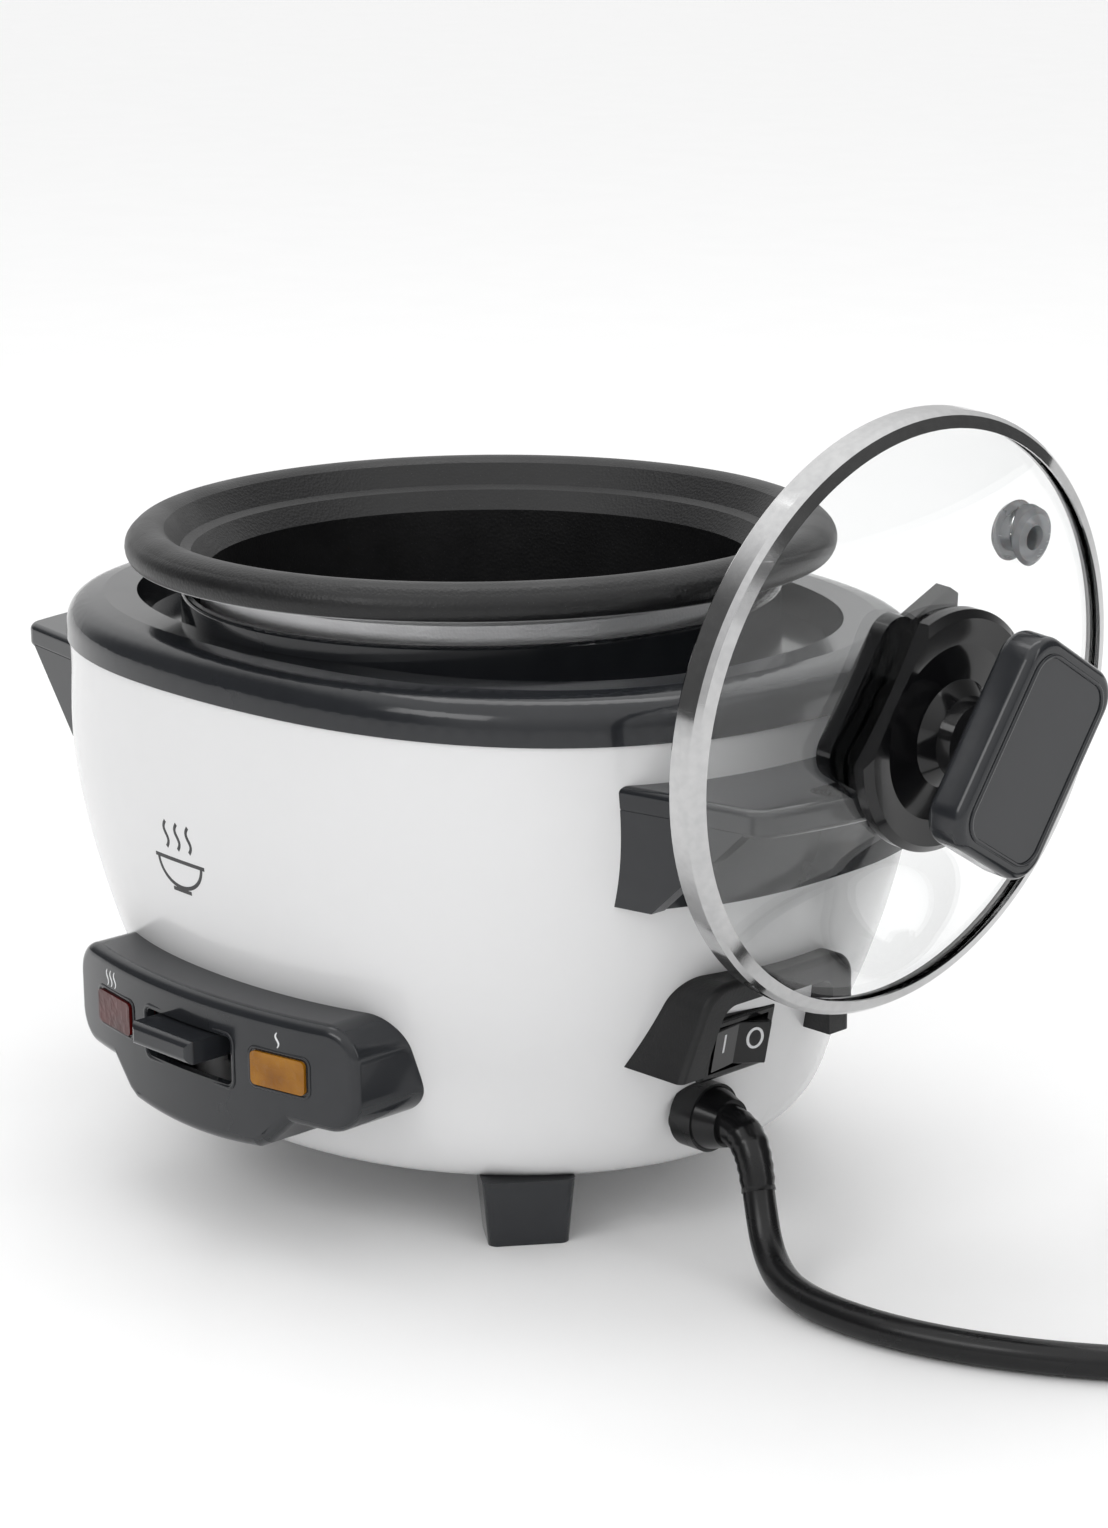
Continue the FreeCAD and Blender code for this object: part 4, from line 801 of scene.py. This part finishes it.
@dataclass
class Studio:
    """Camera, pale floor, soft lights and a plain sky.

    Attributes:
        azimuth: Direction the camera looks from, degrees.
        pitch: Height of the camera above the horizon, degrees.
        roll: Camera roll, degrees.
        distance: Depth of the aim point, metres.
        aim: A point above the cooker's foot.
        aim_at: Where that point falls in the frame, from its middle, in frame heights.
        lens: Focal length in frame heights.
        sensor: Height of the sensor, millimetres.
        floor_rings: Radii of the floor's rings, metres.
        floor_around: Points in each ring.
        floor_drop: How far the floor lies below the feet, metres.
        zenith: Strength of the sky overhead.
        horizon: Strength of the sky at the horizon.
        dim: Share of the strength left at the two dimmer sides.
        dim_axis: Line through those two sides.
        lights: The soft lights.
    """

    azimuth: float = 46.4
    pitch: float = 14.9
    roll: float = -0.51
    distance: float = 0.8424
    aim: tuple[float, float, float] = (0.0, 0.0, 0.1)
    aim_at: tuple[float, float] = (-0.04578, 0.02942)
    lens: float = 2.39
    sensor: float = 36.0
    floor_rings: tuple[float, ...] = (0.3, 0.8, 2.0, 6.0, 25.0)
    floor_around: int = 48
    floor_drop: float = 0.00005
    zenith: float = 1.3
    horizon: float = 0.7
    dim: float = 0.15
    dim_axis: tuple[float, float, float] = (0.69, 0.724, 0.0)
    lights: tuple[Softbox, ...] = (
        Softbox("key_light", (0.1, -1.5, 1.1), (0.9, 0.5), 4.5),
        Softbox("side_light", (1.7, 0.3, 0.8), (0.25, 1.2), 2.5),
        Softbox("top_light", (-0.3, 0.2, 1.6), (1.2, 0.5), 4.0),
    )

    def camera(self) -> None:
        """Place the camera so that the aim point falls at its place in the frame."""
        a, p, r = map(math.radians, (self.azimuth, self.pitch, self.roll))
        back = Vector((math.sin(a) * math.cos(p), -math.cos(a) * math.cos(p), math.sin(p)))
        level = Vector((math.cos(a), math.sin(a), 0.0))
        above = back.cross(level)
        right = level * math.cos(r) + above * math.sin(r)
        up = above * math.cos(r) - level * math.sin(r)
        ray = right * (self.aim_at[0] / self.lens) + up * (self.aim_at[1] / self.lens) - back
        data = bpy.data.cameras.new("catalogue_camera")
        data.sensor_fit = "VERTICAL"
        data.sensor_height = data.sensor_width = self.sensor
        data.lens = self.lens * self.sensor
        data.clip_start, data.clip_end = 0.01, 100.0
        camera = bpy.data.objects.new("catalogue_camera", data)
        bpy.context.scene.collection.objects.link(camera)
        turn = Matrix((right, up, back)).transposed().to_4x4()
        camera.matrix_world = Matrix.Translation(Vector(self.aim) - ray * self.distance) @ turn
        bpy.context.scene.camera = camera

    def floor(self) -> None:
        """Lay the pale floor."""
        mesh = bpy.data.meshes.new("studio_floor")
        around = self.floor_around
        verts = [(0.0, 0.0, 0.0)]
        for ring in self.floor_rings:
            verts += [(ring * math.cos(math.tau * k / around), ring * math.sin(math.tau * k / around), 0.0)
                      for k in range(around)]
        faces: list[tuple[int, ...]] = [(0, 1 + k, 1 + (k + 1) % around) for k in range(around)]
        for row in range(len(self.floor_rings) - 1):
            base = 1 + row * around
            faces += [(base + k, base + around + k, base + around + (k + 1) % around, base + (k + 1) % around)
                      for k in range(around)]
        mesh.from_pydata(verts, [], faces)
        mesh.materials.append(FLOOR_PAPER.material())
        floor = bpy.data.objects.new("studio_floor", mesh)
        bpy.context.scene.collection.objects.link(floor)
        floor.location.z = -self.floor_drop

    def sky(self) -> None:
        """Fill light from a plain sky, brighter overhead and dimmer at two opposite sides."""
        world = bpy.data.worlds.new("studio_sky")
        world.use_nodes = True
        tree = world.node_tree
        coords = tree.nodes.new("ShaderNodeTexCoord")
        apart = tree.nodes.new("ShaderNodeSeparateXYZ")
        tree.links.new(coords.outputs["Generated"], apart.inputs[0])
        side = tree.nodes.new("ShaderNodeVectorMath")
        side.operation = "DOT_PRODUCT"
        side.inputs[1].default_value = self.dim_axis
        tree.links.new(coords.outputs["Generated"], side.inputs[0])
        either = tree.nodes.new("ShaderNodeMath")
        either.operation = "ABSOLUTE"
        tree.links.new(side.outputs["Value"], either.inputs[0])

        def ramp(value: Socket, *limits: float) -> Socket:
            """Map a value smoothly between two ranges."""
            node = tree.nodes.new("ShaderNodeMapRange")
            node.interpolation_type = "SMOOTHSTEP"
            for name, number in zip(("From Min", "From Max", "To Min", "To Max"), limits):
                node.inputs[name].default_value = number
            tree.links.new(value, node.inputs["Value"])
            return node.outputs["Result"]

        strength = tree.nodes.new("ShaderNodeMath")
        strength.operation = "MULTIPLY"
        tree.links.new(ramp(apart.outputs["Z"], 0.0, 0.9, self.horizon, self.zenith), strength.inputs[0])
        tree.links.new(ramp(either.outputs[0], 0.55, 0.85, 1.0, self.dim), strength.inputs[1])
        ground = next(n for n in tree.nodes if n.type == "BACKGROUND")
        ground.inputs["Color"].default_value = (1.0, 1.0, 1.0, 1.0)
        tree.links.new(strength.outputs[0], ground.inputs["Strength"])
        bpy.context.scene.world = world

    def build(self) -> None:
        """Set up the whole studio."""
        self.camera()
        self.floor()
        self.sky()
        for light in self.lights:
            light.hang()
        bpy.context.scene.view_settings.view_transform = "Standard"


# ---------------------------------------------------------------------------
# Sub-assemblies
# ---------------------------------------------------------------------------
@dataclass
class SubAssembly:
    """A group of CAD nodes with the pieces that finish them."""

    def finishes(self) -> dict[str, Finish]:
        """The finish of each CAD node of this group."""
        return {}

    def dress(self) -> None:
        """Give each CAD node its finish."""
        for node, finish in self.finishes().items():
            shown = FRAME["nodes"][node]
            made = finish.material()
            if not shown.material_slots:
                shown.data.materials.append(made)
            for slot in shown.material_slots:
                slot.material = made
            log.info("dressed %s in %s", node, finish.name)

    def pieces(self) -> None:
        """Build the group's own pieces."""

    def build(self) -> None:
        """Dress the nodes and build the pieces."""
        self.dress()
        self.pieces()


@dataclass
class MainsLead(SubAssembly):
    """The lead from its gland, over the floor, round its coil and into its plug.

    Attributes:
        width: Lead diameter.
        length: Real length; not used.
        coil_middle: Middle of the coil on the floor.
        outer_turn: Radius of the outer turns.
        inner_turn: Radius of the inner turns.
        turn_points: Points in each turn.
        turns: Turns of the coil.
        meets: Direction in which the lead meets the coil, degrees.
        floor_level: Height of the lead's middle on the floor.
        layer_rise: Rise to the second layer.
        end_rise: Rise of the lead's last turn.
        sleeve_reach: Length of the gland's sleeve.
        sleeve_radius: Radius of the sleeve at the gland.
        sleeve_taper: How much thinner it is at its end.
        rib_pitch: Length of one rib and groove.
        rib_depth: Depth of a groove.
        sleeve_around: Points round the sleeve.
        tie_angle: Direction of the tie from the coil's middle, degrees.
        tie_radius: Distance of the tie from the coil's middle.
        tie_height: Height of the tie's middle.
        tie_section: Half width, half height and corner radius of its loop.
        tie_squash: Share of the loop's height that is left.
    """

    width: float = 0.007
    length: float = 1.0
    coil_middle: tuple[float, float] = (0.190, 0.088)
    outer_turn: float = 0.0424
    inner_turn: float = 0.0352
    turn_points: int = 16
    turns: float = 3.06
    meets: float = -33.0
    floor_level: float = 0.0036
    layer_rise: float = 0.0073
    end_rise: float = 0.0009
    sleeve_reach: float = 0.021
    sleeve_radius: float = 0.0046
    sleeve_taper: float = 0.0009
    rib_pitch: float = 0.0024
    rib_depth: float = 0.0002
    sleeve_around: int = 24
    tie_angle: float = 205.0
    tie_radius: float = 0.039
    tie_height: float = 0.0076
    tie_section: tuple[float, float, float] = (0.0078, 0.0074, 0.0034)
    tie_squash: float = 0.98

    # The tie's rings of points: place along the lead, and swell as a share of the loop's width.
    TIE_RINGS = ((-0.005, 0.0), (-0.0047, 0.024), (0.0047, 0.024), (0.005, 0.0))
    # From the gland to the coil, and from the coil to the plug.
    ROUTE = (
        (0.0920, -0.0170, 0.0305), (0.0980, -0.0170, 0.0305), (0.1035, -0.0186, 0.0262),
        (0.1072, -0.0206, 0.0160), (0.1128, -0.0240, 0.0074), (0.1225, -0.0285, 0.0040),
        (0.1370, -0.0305, 0.0036), (0.1575, -0.0278, 0.0036), (0.1806, -0.0175, 0.0036),
        (0.2015, -0.0023, 0.0036), (0.2160, 0.0177, 0.0036), (0.2236, 0.0406, 0.0036),
    )
    TAIL = ((0.2311, 0.0890, 0.0117), (0.2292, 0.0985, 0.0120), (0.2290, 0.1040, 0.0120))

    def finishes(self) -> dict[str, Finish]:
        """The plug, its pins, the gland and the lead's own nodes."""
        return {"plug_body": BLACK_SATIN, "plug_pins": BRASS, "cord_gland": BLACK_SATIN,
                "mains_cord": BLACK_SATIN, "cord_coil": BLACK_SATIN}

    def turn_place(self, turns: float) -> tuple[float, float, float]:
        """Where the coil has got to after some turns.

        Args:
            turns: Turns made since the lead met the coil.

        Returns:
            The point's coordinates.
        """
        def ease(low: float, high: float) -> float:
            """A smooth step from 0 to 1 between two counts of turns."""
            part = min(1.0, max(0.0, (turns - low) / (high - low)))
            return part * part * (3 - 2 * part)

        inward = ease(0.78, 1.0) - 0.9 * ease(2.15, 2.5)
        radius = self.outer_turn + (self.inner_turn - self.outer_turn) * inward
        height = self.floor_level + self.layer_rise * ease(1.6, 1.85) + self.end_rise * ease(2.8, 3.1)
        radius /= math.cos(math.pi / self.turn_points)
        angle = math.radians(self.meets) + math.tau * turns
        x, y = self.coil_middle
        return (x + radius * math.cos(angle), y + radius * math.sin(angle), height)

    def lead(self) -> bpy.types.Object:
        """The lead as one smooth open curve.

        Returns:
            The lead.
        """
        steps = int(self.turns * self.turn_points) + 1
        points = [*self.ROUTE, *(self.turn_place(i / self.turn_points) for i in range(steps)), *self.TAIL]
        data = bpy.data.curves.new("mains_lead", "CURVE")
        data.dimensions = "3D"
        spline = data.splines.new("NURBS")
        spline.points.add(len(points) - 1)
        for point, place in zip(spline.points, points):
            point.co = (*place, 1.0)
        spline.order_u = 3
        spline.use_endpoint_u = True
        spline.resolution_u = 8
        data.bevel_depth = self.width / 2
        data.bevel_resolution = 6
        data.use_fill_caps = True
        data.materials.append(BLACK_SATIN.material())
        lead = bpy.data.objects.new("mains_lead", data)
        bpy.context.scene.collection.objects.link(lead)
        return lead

    def centreline(self, lead: bpy.types.Object) -> list[Vector]:
        """Points along the lead's own curve.

        Args:
            lead: The lead.

        Returns:
            The points, from the gland on.
        """
        bare = lead.data.copy()
        bare.bevel_depth = 0.0
        holder = bpy.data.objects.new("lead_line", bare)
        mesh = bpy.data.meshes.new_from_object(holder)
        line = [v.co.copy() for v in mesh.vertices]
        bpy.data.objects.remove(holder)
        bpy.data.curves.remove(bare)
        bpy.data.meshes.remove(mesh)
        return line

    def relief(self, line: Sequence[Vector]) -> bpy.types.Object:
        """The ribbed sleeve that tapers along the lead from the gland.

        Args:
            line: Points along the lead.

        Returns:
            The sleeve.
        """
        reach, rib, around = self.sleeve_reach, self.rib_pitch, self.sleeve_around
        verts: list[Vector] = []
        gone, rows, step = 0.0, 0, 0.0
        for here, after in zip(line, line[1:]):
            if gone > reach:
                break
            if gone >= step:
                along = (after - here).normalized()
                side = along.cross(Vector((0.0, 1.0, 0.0))).normalized()
                other = along.cross(side)
                radius = self.sleeve_radius - self.sleeve_taper * gone / reach
                radius -= self.rib_depth if (gone % rib) > rib * 0.6 else 0.0
                for k in range(around):
                    angle = math.tau * k / around
                    verts.append(here + (side * math.cos(angle) + other * math.sin(angle)) * radius)
                rows += 1
                step = gone + 0.0005
            gone += (after - here).length
        return mesh_piece("lead_sleeve", verts, tube_faces(rows, around), BLACK_SATIN, "base")

    def tie(self) -> bpy.types.Object:
        """The soft band that holds the coil.

        Returns:
            The band.
        """
        angle = math.radians(self.tie_angle)
        out = Vector((math.cos(angle), math.sin(angle), 0.0))
        side = Vector((-out.y, out.x, 0.0))
        middle = Vector((*self.coil_middle, self.tie_height)) + out * self.tie_radius
        loop = rounded_frame(*self.tie_section, 8)
        verts = [middle + out * (x * (1 + swell)) + side * across + Vector((0.0, 0.0, y * self.tie_squash))
                 for across, swell in self.TIE_RINGS for x, y in loop]
        faces = tube_faces(len(self.TIE_RINGS), len(loop))
        return mesh_piece("coil_tie", verts, faces, BLACK_PLASTIC, "base")

    def build_lead(self) -> None:
        lead = self.lead()
        line = self.centreline(lead)
        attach(lead, "base")
        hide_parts("mains_cord", "cord_coil")
        sleeve, tie = self.relief(line), self.tie()
        log.info("laid the mains lead")


@dataclass
class Housing(SubAssembly):
    """The enamelled shell, its ring, base, feet and side handles.

    Attributes:
        badge_middle: X and height of the mark on the front.
    """

    badge_middle: tuple[float, float] = (-0.0125, 0.0810)

    def finishes(self) -> dict[str, Finish]:
        """Shell, ring, base plate, feet, handles and their screws."""
        grey = ("top_ring", "foot_1", "foot_2", "foot_3", "handle_right", "handle_left")
        zinc = ("base_plate", "foot_screws", "handle_screws")
        return {"outer_shell": ENAMEL, **dict.fromkeys(grey, GREY_GLOSS), **dict.fromkeys(zinc, ZINC)}

    def pieces(self) -> None:
        """A plain steaming-bowl mark printed on the front."""
        x, z = self.badge_middle
        face = Surface("outer_shell", Vector((x, IN_FRONT, z)), Vector((1, 0, 0)), Vector((0, 0, 1)))
        rim = [(k * MM, -1 * MM) for k in (-9.2, -3, 3, 9.2)]
        foot = [(k * MM, -7.9 * MM) for k in (-3.4, 0, 3.4)]
        bowl = [ellipse(0, -1 * MM, 8 * MM, 6.2 * MM, 180, 360, 28), rim, foot]
        steam = [wave(k * 4.2 * MM, 4.6 * MM, 6.0 * MM, 0.75 * MM) for k in (-1, 0, 1)]
        face.print_mark("bowl_mark", bowl + steam, 0.9 * MM, GREY_INK, "base")


@dataclass
class CookingPot(SubAssembly):
    """The loose pot."""

    def finishes(self) -> dict[str, Finish]:
        """Coated inside, bare outside."""
        return {"pot": NON_STICK}


@dataclass
class HeatingSet(SubAssembly):
    """The well, hot plate, thermostat and its magnet, all inside."""

    def finishes(self) -> dict[str, Finish]:
        """Metal parts below the pot."""
        return {"inner_well": ALUMINIUM, "heating_plate": ALUMINIUM, "sensor_cap": ALUMINIUM,
                "thermal_fuse": ALUMINIUM, "pull_magnet": FERRITE, "pull_rod": ZINC, "sensor_spring": ZINC,
                "element_terminals": BRASS, "terminal_block": CERAMIC, "micro_switch": BLACK_PLASTIC,
                "lever_bracket": ZINC, "lever_arm": ZINC, "lever_pin": ZINC}


@dataclass
class ControlPanel(SubAssembly):
    """The panel with its two lamps, their frames and marks, and the cook lever.

    Attributes:
        lamp_side: X of either lamp.
        lamp_height: Height of the lamps.
        slot_height: Height of the lever's slot.
        mark_height: Height of the steam marks.
    """

    lamp_side: float = 0.0285
    lamp_height: float = 0.0430
    slot_height: float = 0.0424
    mark_height: float = 0.0502

    def finishes(self) -> dict[str, Finish]:
        """Panel, lever, lenses and bulbs."""
        return {"panel_housing": GREY_GLOSS, "cook_lever": GREY_GLOSS, "red_lens": RED_LENS,
                "amber_lens": AMBER_LENS, "red_bulb": BULB_GLASS, "amber_bulb": BULB_GLASS}

    def pieces(self) -> None:
        """Frames round the slot and the lamps, and the steam marks above them."""
        for side, colour in ((-1, "red"), (1, "amber")):
            lamp = rounded_frame(8.15 * MM, 4.45 * MM, 1.7 * MM)
            spot = self.face(side * self.lamp_side, self.lamp_height)
            spot.frame(f"{colour}_lamp_frame", lamp, 0.75 * MM, 0.28 * MM, "base")
        slot = rounded_frame(15.4 * MM, 6.2 * MM, 2.1 * MM)
        self.face(0.0, self.slot_height).frame("slot_frame", slot, 0.8 * MM, 0.3 * MM, "base")
        cooking = [wave(k * 1.75 * MM, 0.0, 3.7 * MM, 0.45 * MM) for k in (-1, 0, 1)]
        warming = [wave(0.0, 0.0, 3.4 * MM, 0.42 * MM)]
        for name, side, strokes in (("cooking_mark", -0.0305, cooking), ("warming_mark", 0.0283, warming)):
            spot = self.face(side, self.mark_height)
            spot.print_mark(name, strokes, 0.52 * MM, WHITE_INK, "base", taper=True)

    def face(self, x: float, z: float) -> Surface:
        """The panel's front round one spot.

        Args:
            x: X of the spot.
            z: Its height.

        Returns:
            The surface to draw on.
        """
        return Surface("panel_housing", Vector((x, IN_FRONT, z)), Vector((1, 0, 0)), Vector((0, 0, 1)))


@dataclass
class SwitchStation(SubAssembly):
    """The rocker switch under its arched hood.

    Attributes:
        lean: How far the switch leans, top outwards, degrees.
        marks_from: X in front of the rocker, from which its marks are laid.
        marks_drop: How far the marks lie below the rocker's middle.
    """

    lean: float = 12.0
    marks_from: float = 0.106
    marks_drop: float = 0.002

    def finishes(self) -> dict[str, Finish]:
        """Hood, switch and tabs."""
        return {"switch_hood": BLACK_PLASTIC, "switch_housing": BLACK_SATIN, "rocker": BLACK_GLOSS,
                "switch_tabs": BRASS}

    def pieces(self) -> None:
        """The ring and bar marks on the rocker's two halves."""
        low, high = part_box("rocker")
        middle = (low + high) / 2
        turn = math.radians(self.lean)
        up = Vector((math.sin(turn), 0.0, math.cos(turn)))
        spot = Vector((self.marks_from, middle.y, middle.z - self.marks_drop))
        face = Surface("rocker", spot, Vector((0, 1, 0)), up)
        ring = ellipse(4.0 * MM, 0, 1.5 * MM, 2.3 * MM, steps=28)[:-1]
        bar = [(-4.0 * MM, y * MM) for y in (-2.2, -1.1, 0, 1.1, 2.2)]
        for name, stroke, closed in (("off_mark", ring, True), ("on_mark", bar, False)):
            face.print_mark(name, [stroke], 0.62 * MM, WHITE_INK, "rocker", closed)


@dataclass
class GlassLid(SubAssembly):
    """The glass lid with its steel rim, vent, knob and hanger.

    Attributes:
        lean: How far the hung lid leans, degrees.
        turn: How far the knob is turned on the lid, degrees.
        bead_half_wide: Half width of the grip's bead.
        bead_half_tall: Half height of the grip's bead.
        bead_corner: Corner radius of the bead.
        bead_from: Distance in front of the grip from which it is laid.
    """

    lean: float = 5.0
    turn: float = 31.0
    bead_half_wide: float = 12.4 * MM
    bead_half_tall: float = 19.9 * MM
    bead_corner: float = 5.0 * MM
    bead_from: float = 0.01

    def finishes(self) -> dict[str, Finish]:
        """Glass, rim, vent, knob, grip, hanger and screw."""
        return {"lid_glass": LID_GLASS, "lid_rim": STEEL, "vent_grommet": SILICONE, "knob_base": BLACK_GLOSS,
                "knob_grip": GREY_GLOSS, "grip_inset": GREY_GLOSS, "lid_hanger": BLACK_GLOSS,
                "knob_screw": STEEL}

    def pieces(self) -> None:
        """The raised bead round the grip's plate."""
        lean, turn = math.radians(self.lean), math.radians(self.turn)
        across = Vector((0.0, 1.0, 0.0))
        along = Vector((math.sin(lean), 0.0, math.cos(lean)))
        out = Vector((math.cos(lean), 0.0, -math.sin(lean)))
        right = across * math.cos(turn) - along * math.sin(turn)
        up = across * math.sin(turn) + along * math.cos(turn)
        low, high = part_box("grip_inset")
        face = Surface("knob_grip", (low + high) / 2 + out * self.bead_from, right, up)
        bead = rounded_frame(self.bead_half_wide, self.bead_half_tall, self.bead_corner, 10)
        face.frame("grip_bead", bead, 0.9 * MM, 0.4 * MM, "lid")


def main() -> None:
    """Build the studio and every sub-assembly in order."""
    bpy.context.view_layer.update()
    Studio().build()
    lead = MainsLead()
    lead.build_lead()
    for group in (Housing(), CookingPot(), HeatingSet(), ControlPanel(), SwitchStation(), GlassLid(), lead):
        group.build()
        log.info("finished %s", type(group).__name__)


if __name__ == "__main__":
    logging.basicConfig(level=logging.INFO, format="%(name)s: %(message)s")
    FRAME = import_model()
    main()
